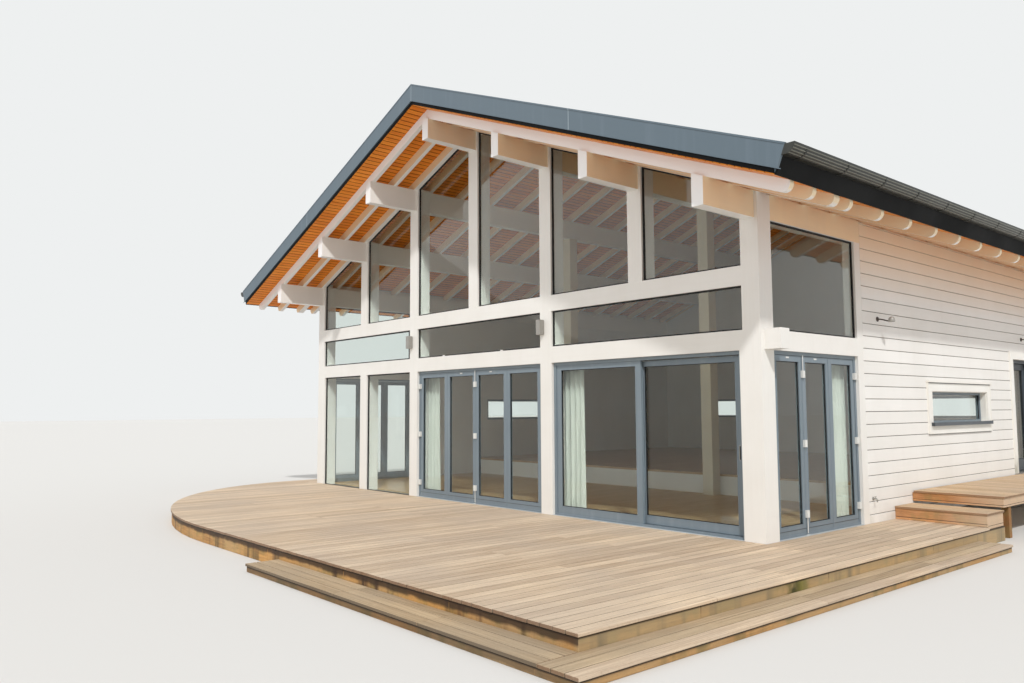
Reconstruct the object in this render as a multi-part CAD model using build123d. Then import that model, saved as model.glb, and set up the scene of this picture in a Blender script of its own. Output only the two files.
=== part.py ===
from build123d import *
import os

os.makedirs("parts", exist_ok=True)

# Beach house: a glazed post-and-beam gable, clad side and rear walls, a low roof with wide
# overhangs and a timber deck. Millimetres, +Z up. X runs across the front, Y runs back from
# the outer face of the front posts, and Z is the height over the ground under the slab.

# Levels over the ground
DECK_TOP = 220.0
FLOOR_BOARD = 20.0
FOUNDATION_TOP = DECK_TOP - FLOOR_BOARD
RAISED_FLOOR_RISE = 375.0
SIDE_DECK_RISE = 360.0
SIDE_STEP_RISE = 180.0
LOWER_STEP_DROP = 130.0

# Joints between pieces, and how far a cutting block runs past what it cuts
SEAT_GAP = 0.3
JOINT = 1.0
CUT = 1.0
RUNNING_GAP = 8.0

# Plan of the house
BAY = 1800.0
BAY_COUNT = 6
POST_WIDTH = 250.0
POST_DEPTH = 275.0
CORNER_POST_EXTRA = 50.0
HOUSE_DEPTH = 12000.0
WALL = 180.0
HALF_SPAN = BAY * BAY_COUNT / 2
HALF_HOUSE = HALF_SPAN + POST_WIDTH / 2
INNER_HALF = HALF_HOUSE - WALL

# Front and side openings, as heights over the floor
DOOR_HEAD = 2270.0
LOWER_TRANSOM_TOP = 2515.0
BAND_TOP = 3057.0
UPPER_TRANSOM_TOP = 3300.0
TRANSOM_DEPTH = 200.0
SIDE_POST_WIDTH = 160.0
SIDE_BAY = 2080.0
INTERIOR_POST = 220.0
RAISED_FLOOR_FRONT = 4230.0
RAISED_FLOOR_BOARD = 40.0
FLOOR_JOIST = 60.0
FLOOR_JOIST_COUNT = 7

# Roof, with heights taken on plumb lines
SLOPE = 0.4
RAFTER_SEAT_APEX = 6375.0
PURLIN_WIDTH = 160.0
PURLIN_DEPTH = 360.0
PURLIN_OVERHANG = 1000.0
RAFTER_WIDTH = 75.0
RAFTER_DEPTH = 150.0
RAFTER_REACH = 1005.0
RAFTER_ROUND = 115.0
VERGE_PITCH = 450.0
FIRST_RAFTER = 290.0
RAFTER_PITCH = 750.0
WALL_RAFTER_WIDTH = 120.0
RIDGE_GAP = 2.0
LINING = 24.0
ROOF_PANEL = 311.0
VERGE_OVERHANG = 1280.0
EAVE_OVERHANG = 1030.0
FASCIA_THICK = 30.0
FASCIA_DROP = 269.0
FASCIA_RISE = 17.0
EAVES_BOARD = 25.0
RIDGE_CAP_HALF = 160.0
RIDGE_CAP_THICK = 12.0
BLOCKING = 30.0
BLOCKING_SETBACK = 5.0

# Gutter section and downpipes
GUTTER_WIDTH = 110.0
GUTTER_DEPTH = 105.0
GUTTER_FLOOR = 62.0
GUTTER_SHEET = 4.0
GUTTER_FLARE = 0.15
GUTTER_BEAD = 8.0
PIPE_RADIUS = 38.0
PIPE_DROP = 250.0
PIPE_BEND = 90.0
PIPE_WALL_GAP = 20.0
PIPE_FOOT = 60.0
PIPE_FROM_REAR = 175.0

# Windows and doors
BEAD = 22.0
BEAD_DEPTH = 30.0
GLASS = 12.0
GLASS_SETBACK = 40.0
DOOR_FRAME = 45.0
DOOR_FRAME_DEPTH = 70.0
DOOR_SETBACK = 45.0
LEAF_STILE = 75.0
LEAF_TOP = 75.0
LEAF_BOTTOM = 110.0
LEAF_THICK = 55.0
LEAF_GAP = 4.0
SLIDING_FRAME_DEPTH = 135.0
SLIDING_STILE = 100.0
SLIDING_THICK = 45.0
SLIDING_OVERLAP = 90.0
THRESHOLD = 30.0
RAIL_WIDTH = 12.0

# Hinge blocks and bolts on the outside of the folding doors
BLOCK_WIDTH = 60.0
BLOCK_HEIGHT = 90.0
BLOCK_PROUD = 28.0
KNUCKLE_RADIUS = 11.0
BOLT_RADIUS = 6.0
BOLT_LENGTH = 190.0
BLOCK_INSET = 230.0

# Small ribbon window, as heights over the floor and places along the wall
RIBBON_START = 4630.0
RIBBON_WIDTH = 2200.0
RIBBON_SILL = 1310.0
RIBBON_HEIGHT = 510.0
RIBBON_TRIM = 150.0
TRIM_THICK = 22.0
SILL_THICK = 25.0
SILL_NOSE = 70.0
RIBBON_FRAME = 45.0
REAR_WINDOW_OFFSET = 2700.0

# Entrance door in the right wall
ENTRANCE_START = 8150.0
ENTRANCE_WIDTH = 1050.0
ENTRANCE_HEIGHT = 2060.0
ENTRANCE_FRAME = 60.0
ENTRANCE_FRAME_DEPTH = 110.0
ENTRANCE_STILE = 110.0
ENTRANCE_THICK = 60.0
ENTRANCE_TRIM = 140.0
HINGE_RADIUS = 7.0
HINGE_KNUCKLE = 45.0
HINGE_PLATE = 3.0
HINGE_PLATE_REACH = 32.0
HINGE_INSET = 200.0
HINGE_COUNT = 3
KNOB_HEIGHT = 1000.0
KNOB_RADIUS = 24.0
KNOB_REACH = 50.0
ROSE_RADIUS = 28.0
ROSE_THICK = 6.0

# Deck
DECK_BOARD = 28.0
DECK_NOSE = 15.0
DECK_FRONT = 4330.0
DECK_SIDE = 1230.0
DECK_CURVE_START = 500.0
DECK_CURVE_REACH = 5870.0
DECK_LEFT_END = 2500.0
DECK_SKIRT = 25.0
DECK_BEARER = 60.0
FIRST_BEARER = 1040.0
DECK_BEARER_PITCH = 1300.0
WALK_BEARER = 1400.0
LOWER_STEP_WIDTH = 400.0
LOWER_STEP_START = 1900.0
LOWER_STEP_END = 2900.0
SIDE_STEP_FRONT = 3250.0
SIDE_DECK_FRONT = 3820.0
SIDE_DECK_END = 10500.0
SIDE_DECK_SKIRT = 120.0
SIDE_DECK_POST = 95.0
SIDE_DECK_POST_COUNT = 5
FIRST_DECK_POST = 240.0

# Beam end, lamps and tap
STUB_REACH = 215.0
STUB_SETBACK = 70.0
POST_LAMP_WIDTH = 85.0
POST_LAMP_HEIGHT = 230.0
POST_LAMP_DEPTH = 95.0
POST_LAMP_INSET = 6.0
POST_LAMP_RISE = 190.0
LENS_EDGE = 10.0
LENS_DEPTH = 12.0
ARM_LAMP_PLACES = (2960.0, 8675.0)
ARM_LAMP_HEIGHT = 2820.0
ARM_ROSE_RADIUS = 35.0
ARM_ROSE_THICK = 14.0
ARM_RADIUS = 8.0
ARM_REACH = 205.0
ARM_DROP = 45.0
ARM_BEND = 40.0
SHADE_RADIUS = 44.0
SHADE_HEIGHT = 75.0
TAP_PLACE = 2620.0
TAP_HEIGHT = 330.0
TAP_ROSE_RADIUS = 20.0
TAP_BODY_RADIUS = 10.0
TAP_REACH = 70.0
TAP_SPOUT = 45.0
TAP_LEVER = 60.0


def box(x0, x1, y0, y1, z0, z1):
    """A block between two corners."""
    centre = Pos((x0 + x1) / 2, (y0 + y1) / 2, (z0 + z1) / 2)
    return centre * Box(x1 - x0, y1 - y0, z1 - z0)


def rod_x(x0, x1, y, z, radius):
    """A round bar along X."""
    return Pos((x0 + x1) / 2, y, z) * Rot(0, 90, 0) * Cylinder(radius, x1 - x0)


def rod_z(x, y, z0, z1, radius):
    """A round bar along Z."""
    return Pos(x, y, (z0 + z1) / 2) * Cylinder(radius, z1 - z0)


def bent_rod(points, radius, bend):
    """A round bar along straight runs that are joined by arcs."""
    path = FilletPolyline(*points, radius=bend)
    return sweep(Plane(origin=path @ 0, z_dir=path % 0) * Circle(radius), path=path)


def prism(points, y0, y1):
    """A polygon drawn on the XZ plane and carried from y0 to y1."""
    outline = Polyline([(x, y0, z) for x, z in points], close=True)
    return extrude(make_face(outline), amount=y1 - y0, dir=(0, 1, 0))


def plate(outline, z0, z1):
    """A flat outline drawn on the XY plane and carried from z0 to z1."""
    return Pos(0, 0, z0) * extrude(outline, amount=z1 - z0, dir=(0, 0, 1))


def save(node, *solids):
    """Write one piece as a STEP file of one or more solids."""
    pieces = []
    for solid in solids:
        pieces.extend(solid.solids())
    shape = pieces[0] if len(pieces) == 1 else Compound(children=pieces)
    export_step(shape, f"parts/{node}.step")


def across(shape):
    """The mirror image on the other side of the house."""
    return mirror(shape, about=Plane.YZ)


def both_sides(shapes):
    """Each shape with its mirror image on the other side of the house."""
    return [*shapes, *[across(shape) for shape in shapes]]


def level(height):
    """A height over the floor as a height over the ground."""
    return DECK_TOP + height


def seat(x):
    """Height of the underside of the rafters at x."""
    return level(RAFTER_SEAT_APEX) - SLOPE * abs(x)


def wall_block(side_wall, a0, a1, z0, z1, t0, t1):
    """A block in the front wall or the right side wall: a runs along it, t goes in from its face."""
    if side_wall:
        return box(HALF_HOUSE - t1, HALF_HOUSE - t0, a0, a1, z0, z1)
    return box(a0, a1, t0, t1, z0, z1)


def ring(side_wall, a0, a1, z0, z1, t0, t1, sides, top, bottom):
    """A rectangular frame in the front wall or in the right side wall."""
    outer = wall_block(side_wall, a0, a1, z0, z1, t0, t1)
    return outer - wall_block(side_wall, a0 + sides, a1 - sides, z0 + bottom, z1 - top, t0 - CUT, t1 + CUT)


def door_frame(side_wall, a0, a1, z0, z1, t0, t1, sill):
    """The four bars of a door frame: the head and the sill run through, the jambs stand between."""
    head = wall_block(side_wall, a0, a1, z1 - DOOR_FRAME, z1, t0, t1)
    low = wall_block(side_wall, a0, a1, z0, sill, t0, t1)
    jamb_low = sill + JOINT
    jamb_high = z1 - DOOR_FRAME - JOINT
    near = wall_block(side_wall, a0, a0 + DOOR_FRAME, jamb_low, jamb_high, t0, t1)
    far = wall_block(side_wall, a1 - DOOR_FRAME, a1, jamb_low, jamb_high, t0, t1)
    return [head, low, near, far]


def sheet(side_wall, a0, a1, z0, z1, t0):
    """A pane of glass in the front wall or in the right side wall."""
    return wall_block(side_wall, a0, a1, z0, z1, t0, t0 + GLASS)


def beaded_window(side_wall, a0, a1, z0, z1):
    """A pane set straight into the timber, with its bead: returns bead and pane."""
    depth = GLASS_SETBACK - (BEAD_DEPTH - GLASS) / 2
    bead = ring(side_wall, a0, a1, z0, z1, depth, depth + BEAD_DEPTH, BEAD, BEAD, BEAD)
    pane = sheet(side_wall, a0 + BEAD, a1 - BEAD, z0 + BEAD, z1 - BEAD, GLASS_SETBACK)
    return bead, pane


leaf_face = DOOR_SETBACK + (DOOR_FRAME_DEPTH - LEAF_THICK) / 2


def folding_door(side_wall, a0, a1, count):
    """A folding door: returns its frame bars, its leaves and their panes."""
    z0 = DECK_TOP
    z1 = level(DOOR_HEAD)
    frame_rear = DOOR_SETBACK + DOOR_FRAME_DEPTH
    bars = door_frame(side_wall, a0, a1, z0, z1, DOOR_SETBACK, frame_rear, z0 + THRESHOLD)
    clear = a1 - a0 - 2 * DOOR_FRAME - 2 * LEAF_GAP
    pitch = clear / count
    low = z0 + THRESHOLD
    high = z1 - DOOR_FRAME - LEAF_GAP
    leaves = []
    panes = []
    for number in range(count):
        start = a0 + DOOR_FRAME + LEAF_GAP + number * pitch
        end = start + pitch - LEAF_GAP
        leaves.append(ring(side_wall, start, end, low, high, leaf_face, leaf_face + LEAF_THICK,
                           LEAF_STILE, LEAF_TOP, LEAF_BOTTOM))
        panes.append(sheet(side_wall, start + LEAF_STILE, end - LEAF_STILE, low + LEAF_BOTTOM,
                           high - LEAF_TOP, leaf_face + (LEAF_THICK - GLASS) / 2))
    return bars, leaves, panes


def hinge_block(side_wall, a, z, face):
    """A hinge block centred on the joint at a and z, with its knuckle, standing on the given face."""
    front = face - BLOCK_PROUD
    half = BLOCK_HEIGHT / 2
    body = wall_block(side_wall, a - BLOCK_WIDTH / 2, a + BLOCK_WIDTH / 2, z - half, z + half, front, face)
    axis = (HALF_HOUSE - front, a) if side_wall else (a, front)
    return body + rod_z(*axis, z - half, z + half, KNUCKLE_RADIUS)


def jamb_hinge(side_wall, a, z, leaf_side):
    """A hinge block on a jamb, deepened on the leaf's side (+1 or -1) to reach the leaf."""
    edges = sorted((a + leaf_side * LEAF_GAP, a + leaf_side * BLOCK_WIDTH / 2))
    half = BLOCK_HEIGHT / 2
    packing = wall_block(side_wall, *edges, z - half, z + half, DOOR_SETBACK - BLOCK_PROUD, leaf_face)
    return hinge_block(side_wall, a, z, DOOR_SETBACK) + packing


def bolt(side_wall, a, z0, z1):
    """A round bolt that stands on the leaves, in line with the knuckles."""
    front = leaf_face - BLOCK_PROUD / 2
    axis = (HALF_HOUSE - front, a) if side_wall else (a, front)
    return rod_z(*axis, z0, z1, BOLT_RADIUS)


# Slab and floors
save("foundation", box(-HALF_HOUSE, HALF_HOUSE, 0, HOUSE_DEPTH, 0, FOUNDATION_TOP))
floor_boards = box(-INNER_HALF, INNER_HALF, POST_DEPTH, HOUSE_DEPTH - WALL, FOUNDATION_TOP, DECK_TOP)
save("living_floor", floor_boards)


def raised_floor():
    """Boards over a riser and joists, higher than the living floor."""
    rear = HOUSE_DEPTH - WALL
    top = level(RAISED_FLOOR_RISE)
    under = top - RAISED_FLOOR_BOARD
    body = box(-INNER_HALF, INNER_HALF, RAISED_FLOOR_FRONT, rear, under, top)
    pitch = (rear - RAISED_FLOOR_FRONT - FLOOR_JOIST) / (FLOOR_JOIST_COUNT - 1)
    for number in range(FLOOR_JOIST_COUNT):
        start = RAISED_FLOOR_FRONT + number * pitch
        body += box(-INNER_HALF, INNER_HALF, start, start + FLOOR_JOIST, DECK_TOP, under)
    return body


save("raised_floor", raised_floor())


# Posts: a main post every second bay, forked at the top to hold its purlin
def purlin_soffit(x):
    """Height of the underside of the purlin centred on x."""
    return seat(x) - PURLIN_DEPTH


def forked_post(x, z0):
    """A post with a slot in its head for the purlin, cut to the roof's slope."""
    half = POST_WIDTH / 2
    cheek = PURLIN_WIDTH / 2
    points = [(x - half, z0), (x + half, z0), (x + half, seat(x + half)), (x + cheek, seat(x + cheek)),
              (x + cheek, purlin_soffit(x)), (x - cheek, purlin_soffit(x)), (x - cheek, seat(x - cheek)),
              (x - half, seat(x - half))]
    return prism(points, 0, POST_DEPTH)


main_lines = [-HALF_SPAN + 2 * BAY * number for number in range(BAY_COUNT // 2 + 1)]
stud_lines = [-HALF_SPAN + BAY + 2 * BAY * number for number in range(BAY_COUNT // 2)]
posts = [forked_post(x, FOUNDATION_TOP) for x in main_lines]
inner_edge = HALF_SPAN - POST_WIDTH / 2
thickening = box(inner_edge - CORNER_POST_EXTRA, inner_edge, 0, POST_DEPTH, FOUNDATION_TOP, level(DOOR_HEAD))
posts[-1] += thickening
posts[0] += across(thickening)
SIDE_POST_START = POST_DEPTH + SIDE_BAY
SIDE_POST_END = SIDE_POST_START + SIDE_POST_WIDTH
wall_top = purlin_soffit(HALF_SPAN)
side_post = box(INNER_HALF, HALF_HOUSE, SIDE_POST_START, SIDE_POST_END, FOUNDATION_TOP, wall_top)
save("main_posts", *posts, side_post, across(side_post))
studs = [forked_post(x, level(UPPER_TRANSOM_TOP)) for x in stud_lines]
stud_face = POST_WIDTH / 2
lower_stud_start = stud_lines[0] - stud_face
lower_stud_end = stud_lines[0] + stud_face
lower_stud = box(lower_stud_start, lower_stud_end, 0, POST_DEPTH, FOUNDATION_TOP, level(DOOR_HEAD))
save("gable_studs", *studs, lower_stud)

# Transoms between the main posts and over the side doors, and the beam end at the corner
lower_band = (level(DOOR_HEAD), level(LOWER_TRANSOM_TOP))
upper_band = (level(BAND_TOP), level(UPPER_TRANSOM_TOP))
transoms = []
for x in main_lines[:-1]:
    start = x + stud_face
    end = x + 2 * BAY - stud_face
    transoms.append(box(start, end, 0, TRANSOM_DEPTH, *lower_band))
    transoms.append(box(start, end, 0, TRANSOM_DEPTH, *upper_band))
side_transom = box(INNER_HALF, HALF_HOUSE, POST_DEPTH, SIDE_POST_START, *lower_band)
beam_end = box(HALF_HOUSE, HALF_HOUSE + STUB_REACH, STUB_SETBACK, STUB_SETBACK + TRANSOM_DEPTH, *lower_band)
save("transoms", *transoms, side_transom, across(side_transom), beam_end)

# Purlins with their tops bevelled to the roof's slope, the highest one under the ridge
half_beam = PURLIN_WIDTH / 2


def purlin(x):
    """A purlin on the line x, from one verge to the other."""
    near = x - half_beam
    far = x + half_beam
    points = [(near, purlin_soffit(x)), (far, purlin_soffit(x)), (far, seat(far)), (near, seat(near))]
    if x == 0:
        points.insert(3, (0, seat(0)))
    return prism(points, -PURLIN_OVERHANG, HOUSE_DEPTH + PURLIN_OVERHANG)


purlin_lines = [BAY * number for number in range(-(BAY_COUNT // 2), BAY_COUNT // 2 + 1)]
save("purlins", *[purlin(x) for x in purlin_lines])
inner_post_x = main_lines[-2]
inner_post_start = RAISED_FLOOR_FRONT - INTERIOR_POST
inner_post = box(inner_post_x - INTERIOR_POST / 2, inner_post_x + INTERIOR_POST / 2, inner_post_start,
                 RAISED_FLOOR_FRONT, DECK_TOP, purlin_soffit(inner_post_x))
save("interior_posts", inner_post, across(inner_post))


# Rafters: three at each verge and the rest between the two end walls
def rafter(y0, y1):
    """A rafter from the ridge to its tail, whose lower corner is rounded."""
    tip = HALF_HOUSE + RAFTER_REACH
    low_ridge = (RIDGE_GAP, y0, seat(RIDGE_GAP))
    round_start = (tip - RAFTER_ROUND, y0, seat(tip - RAFTER_ROUND))
    round_end = (tip, y0, seat(tip) + RAFTER_ROUND)
    high_tip = (tip, y0, seat(tip) + RAFTER_DEPTH)
    high_ridge = (RIDGE_GAP, y0, seat(RIDGE_GAP) + RAFTER_DEPTH)
    underside = Line(low_ridge, round_start)
    tail = TangentArc(round_start, round_end, tangent=(1, 0, -SLOPE))
    edges = [underside, tail, Polyline(round_end, high_tip, high_ridge, low_ridge)]
    return extrude(make_face(edges), amount=y1 - y0, dir=(0, 1, 0))


wall_rafter_front = -WALL_RAFTER_WIDTH / 2
verge_starts = [wall_rafter_front - VERGE_PITCH * number for number in (2, 1)]
front_spans = [(start, start + RAFTER_WIDTH) for start in verge_starts]
front_spans.append((wall_rafter_front, wall_rafter_front + WALL_RAFTER_WIDTH))
rear_spans = [(HOUSE_DEPTH - end, HOUSE_DEPTH - start) for start, end in reversed(front_spans)]
inside_run = HOUSE_DEPTH - 2 * FIRST_RAFTER - RAFTER_WIDTH
inside_count = round(inside_run / RAFTER_PITCH)
inside_starts = [FIRST_RAFTER + inside_run * number / inside_count for number in range(inside_count + 1)]
inside_spans = [(start, start + RAFTER_WIDTH) for start in inside_starts]
rafter_spans = front_spans + inside_spans + rear_spans
save("rafters", *both_sides([rafter(start, end) for start, end in rafter_spans]))

# Boards that close the eaves: blocking between the rafters and a head board on each side wall
outer_purlin_face = HALF_SPAN + half_beam
block_face = outer_purlin_face - BLOCKING_SETBACK
closers = []
for before, after in zip(rafter_spans[2:-3], rafter_spans[3:-2]):
    x0 = block_face - BLOCKING
    points = [(x0, seat(x0)), (block_face, seat(block_face)), (block_face, seat(block_face) + RAFTER_DEPTH),
              (x0, seat(x0) + RAFTER_DEPTH)]
    closers.append(prism(points, before[1], after[0]))
head_points = [(outer_purlin_face, purlin_soffit(HALF_SPAN)), (HALF_HOUSE, purlin_soffit(HALF_SPAN)),
               (HALF_HOUSE, seat(HALF_HOUSE)), (outer_purlin_face, seat(outer_purlin_face))]
closers.append(prism(head_points, POST_DEPTH, HOUSE_DEPTH - WALL))
save("eaves_closing_boards", *both_sides(closers))

# Roof slabs: lining boards under an insulated panel, cut square at the eaves
EAVE = HALF_HOUSE + EAVE_OVERHANG
ROOF_FRONT = -VERGE_OVERHANG + FASCIA_THICK
ROOF_REAR = HOUSE_DEPTH + VERGE_OVERHANG - FASCIA_THICK


def square_edge(height):
    """Where the square-cut eave line is at a plumb height over the rafters' seat."""
    return EAVE + (height - RAFTER_DEPTH) * SLOPE / (1 + SLOPE ** 2)


def roof_layer(low, high, start, inset, y0, y1):
    """A sloping layer between two plumb heights, from start to a little in from the eave line."""
    near = square_edge(low) - inset
    far = square_edge(high) - inset
    points = [(start, seat(start) + low), (near, seat(near) + low), (far, seat(far) + high),
              (start, seat(start) + high)]
    return prism(points, y0, y1)


lining_top = RAFTER_DEPTH + LINING
panel_top = lining_top + ROOF_PANEL
lining = roof_layer(RAFTER_DEPTH, lining_top, RIDGE_GAP, EAVES_BOARD, ROOF_FRONT, ROOF_REAR)
save("ceiling_boards", lining, across(lining))
panel = roof_layer(lining_top, panel_top, 0, EAVES_BOARD, ROOF_FRONT, ROOF_REAR)
save("roof_right", panel)
save("roof_left", across(panel))
cap_edge = seat(RIDGE_CAP_HALF) + panel_top
cap_apex = seat(0) + panel_top
cap_points = [(0, cap_apex), (RIDGE_CAP_HALF, cap_edge), (RIDGE_CAP_HALF, cap_edge + RIDGE_CAP_THICK),
              (0, cap_apex + RIDGE_CAP_THICK), (-RIDGE_CAP_HALF, cap_edge + RIDGE_CAP_THICK),
              (-RIDGE_CAP_HALF, cap_edge)]
save("ridge_cap", prism(cap_points, ROOF_FRONT, ROOF_REAR))

# Verge fascia boards, with a plain chevron at each end of the roof
fascia_low = panel_top - FASCIA_DROP
fascia_high = panel_top + FASCIA_RISE
front_rake = roof_layer(fascia_low, fascia_high, 0, 0, -VERGE_OVERHANG, ROOF_FRONT)
rear_rake = roof_layer(fascia_low, fascia_high, 0, 0, ROOF_REAR, HOUSE_DEPTH + VERGE_OVERHANG)
save("verge_fascia", front_rake + across(front_rake), rear_rake + across(rear_rake))

# Boards that close the square-cut edges of the roof slabs
low_x = square_edge(RAFTER_DEPTH)
high_x = square_edge(panel_top)
eaves_points = [(low_x - EAVES_BOARD, seat(low_x - EAVES_BOARD) + RAFTER_DEPTH),
                (low_x, seat(low_x) + RAFTER_DEPTH), (high_x, seat(high_x) + panel_top),
                (high_x - EAVES_BOARD, seat(high_x - EAVES_BOARD) + panel_top)]
save("eaves_boards", *both_sides([prism(eaves_points, ROOF_FRONT, ROOF_REAR)]))

# Gutters on the eaves boards, and downpipes from their rear ends
gutter_top = seat(high_x) + panel_top
gutter_bottom = gutter_top - GUTTER_DEPTH
gutter_low_back = high_x - SLOPE * GUTTER_DEPTH
pipe_x = gutter_low_back + PIPE_RADIUS + JOINT
pipe_y = HOUSE_DEPTH - PIPE_FROM_REAR


def gutter():
    """An open gutter: a back, a flat floor with an outlet, a front curved out to a bead, and two ends."""
    front = high_x + GUTTER_WIDTH
    floor_edge = gutter_low_back + GUTTER_FLOOR
    thin = GUTTER_SHEET
    y = -VERGE_OVERHANG
    outer_lip = (front, y, gutter_top)
    outer_floor = (floor_edge, y, gutter_bottom)
    outside = [Polyline(outer_lip, (high_x, y, gutter_top), (gutter_low_back, y, gutter_bottom), outer_floor),
               TangentArc(outer_floor, outer_lip, tangent=(1, 0, GUTTER_FLARE))]
    length = HOUSE_DEPTH + 2 * VERGE_OVERHANG
    body = extrude(make_face(outside), amount=length, dir=(0, 1, 0))
    y += thin
    inner_low = (gutter_low_back + thin * 2, y, gutter_bottom + thin)
    inner_floor = (floor_edge - thin / 2, y, gutter_bottom + thin)
    lip = (front - thin, y, gutter_top)
    inside = [Polyline(lip, (high_x + thin, y, gutter_top), inner_low, inner_floor),
              TangentArc(inner_floor, lip, tangent=(1, 0, GUTTER_FLARE))]
    body -= extrude(make_face(inside), amount=length - 2 * thin, dir=(0, 1, 0))
    body -= rod_z(pipe_x, pipe_y, gutter_bottom - CUT, gutter_bottom + thin + CUT, GUTTER_FLOOR / 4)
    bead_start = Pos(front - GUTTER_BEAD, -VERGE_OVERHANG, gutter_top - GUTTER_BEAD)
    bead_face = bead_start * Rot(90, 0, 0) * Circle(GUTTER_BEAD)
    body += extrude(bead_face, amount=length, dir=(0, 1, 0))
    far = length - VERGE_OVERHANG - thin
    low = gutter_bottom - CUT
    for x in (inner_low[0], inner_floor[0] - SEAT_GAP):
        body -= box(x, x + SEAT_GAP, y, far, low, gutter_bottom + thin + CUT)
    for end in (y, far - SEAT_GAP):
        body -= box(gutter_low_back - CUT, front + CUT, end, end + SEAT_GAP, low, gutter_top + CUT)
    return body


def downpipe():
    """A pipe from the gutter's outlet back under the eaves to the wall and down to the ground."""
    wall_x = HALF_HOUSE + PIPE_WALL_GAP + PIPE_RADIUS
    first_bend = gutter_bottom - PIPE_DROP
    second_bend = first_bend - SLOPE * (pipe_x - wall_x)
    points = [(pipe_x, pipe_y, gutter_bottom), (pipe_x, pipe_y, first_bend), (wall_x, pipe_y, second_bend),
              (wall_x, pipe_y, PIPE_FOOT)]
    return bent_rod(points, PIPE_RADIUS, PIPE_BEND)


save("gutters", *both_sides([gutter()]))
save("downpipes", *both_sides([downpipe()]))


# Front glazing: gable panes under the rafters, band panes over the doors, and fixed panes below
def gable_window(x0, x1):
    """A gable pane between two posts, its head cut to the slope: returns bead and pane."""
    low = level(UPPER_TRANSOM_TOP)
    depth = GLASS_SETBACK - (BEAD_DEPTH - GLASS) / 2
    outer = [(x0, low), (x1, low), (x1, seat(x1)), (x0, seat(x0))]
    near = x0 + BEAD
    far = x1 - BEAD
    inner = [(near, low + BEAD), (far, low + BEAD), (far, seat(far) - BEAD), (near, seat(near) - BEAD)]
    bead = prism(outer, depth, depth + BEAD_DEPTH) - prism(inner, depth - CUT, depth + BEAD_DEPTH + CUT)
    pane = prism(inner, GLASS_SETBACK, GLASS_SETBACK + GLASS)
    return bead, pane


windows = []
for number in range(BAY_COUNT):
    start = -HALF_SPAN + number * BAY + stud_face
    windows.append(gable_window(start, start + BAY - POST_WIDTH))
for x in main_lines[:-1]:
    windows.append(beaded_window(False, x + stud_face, x + 2 * BAY - stud_face,
                                 level(LOWER_TRANSOM_TOP), level(BAND_TOP)))
corner_face = -inner_edge + CORNER_POST_EXTRA
fixed_spans = [(corner_face, lower_stud_start), (lower_stud_end, main_lines[1] - stud_face)]
for start, end in fixed_spans:
    windows.append(beaded_window(False, start, end, FOUNDATION_TOP, level(DOOR_HEAD)))
beads = [bead for bead, pane in windows]
panes = [pane for bead, pane in windows]
tall_bead, tall_pane = beaded_window(True, POST_DEPTH, SIDE_POST_START, level(LOWER_TRANSOM_TOP),
                                     purlin_soffit(HALF_SPAN))
save("window_beads", *beads, *both_sides([tall_bead]))

# Folding doors: four leaves in the middle of the front, three on each side
front_door = (False, main_lines[1] + stud_face, main_lines[2] - stud_face, 4)
side_door = (True, POST_DEPTH, SIDE_POST_START, 3)
front_bars, front_leaves, front_leaf_panes = folding_door(*front_door)
side_bars, side_leaves, side_leaf_panes = folding_door(*side_door)
save("folding_door_frames", *front_bars, *both_sides(side_bars))
save("folding_door_leaves", *front_leaves, *both_sides(side_leaves))


def leaf_joint(door, number):
    """Place along the wall of the middle of the joint after the first leaves of a folding door."""
    side_wall, a0, a1, count = door
    pitch = (a1 - a0 - 2 * DOOR_FRAME - 2 * LEAF_GAP) / count
    return a0 + DOOR_FRAME + LEAF_GAP / 2 + number * pitch


def outside_hinges(door, joint, jamb, leaf_side):
    """Hinge blocks and bolts on one joint between leaves, and hinge blocks on one jamb."""
    low = DECK_TOP + THRESHOLD + BLOCK_INSET
    high = level(DOOR_HEAD) - DOOR_FRAME - BLOCK_INSET
    heights = (low, (low + high) / 2, high)
    a = leaf_joint(door, joint)
    pieces = [jamb_hinge(door[0], jamb, z, leaf_side) for z in heights]
    stack = [hinge_block(door[0], a, z, leaf_face) for z in heights]
    stack[0] += bolt(door[0], a, low - BLOCK_HEIGHT / 2 - BOLT_LENGTH, low)
    stack[2] += bolt(door[0], a, high, high + BLOCK_HEIGHT / 2 + BOLT_LENGTH)
    return pieces + stack


front_hinges = outside_hinges(front_door, 2, front_door[1] + DOOR_FRAME, 1)
side_hinges = outside_hinges(side_door, 1, side_door[2] - DOOR_FRAME, -1)
save("folding_door_hinges", *front_hinges, *both_sides(side_hinges))


# Sliding door: a fixed leaf in the outer track and a sliding one in the inner track
slide_start = main_lines[2] + stud_face
slide_end = inner_edge - CORNER_POST_EXTRA
leaf_low = DECK_TOP + THRESHOLD
leaf_high = level(DOOR_HEAD) - DOOR_FRAME
slide_bars = door_frame(False, slide_start, slide_end, FOUNDATION_TOP, level(DOOR_HEAD), DOOR_SETBACK,
                        DOOR_SETBACK + SLIDING_FRAME_DEPTH, leaf_low)
clear_start = slide_start + DOOR_FRAME
clear_end = slide_end - DOOR_FRAME
middle = (clear_start + clear_end) / 2
track_gap = (SLIDING_FRAME_DEPTH - 2 * SLIDING_THICK) / 3
outer_track = DOOR_SETBACK + track_gap
outer_track_rear = outer_track + SLIDING_THICK
inner_track = outer_track_rear + track_gap
fixed_end = middle + SLIDING_OVERLAP / 2
fixed_leaf = ring(False, clear_start, fixed_end, leaf_low, leaf_high, outer_track, outer_track_rear,
                  SLIDING_STILE, LEAF_TOP, LEAF_BOTTOM)
save("fixed_door_leaf", fixed_leaf)
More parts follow.
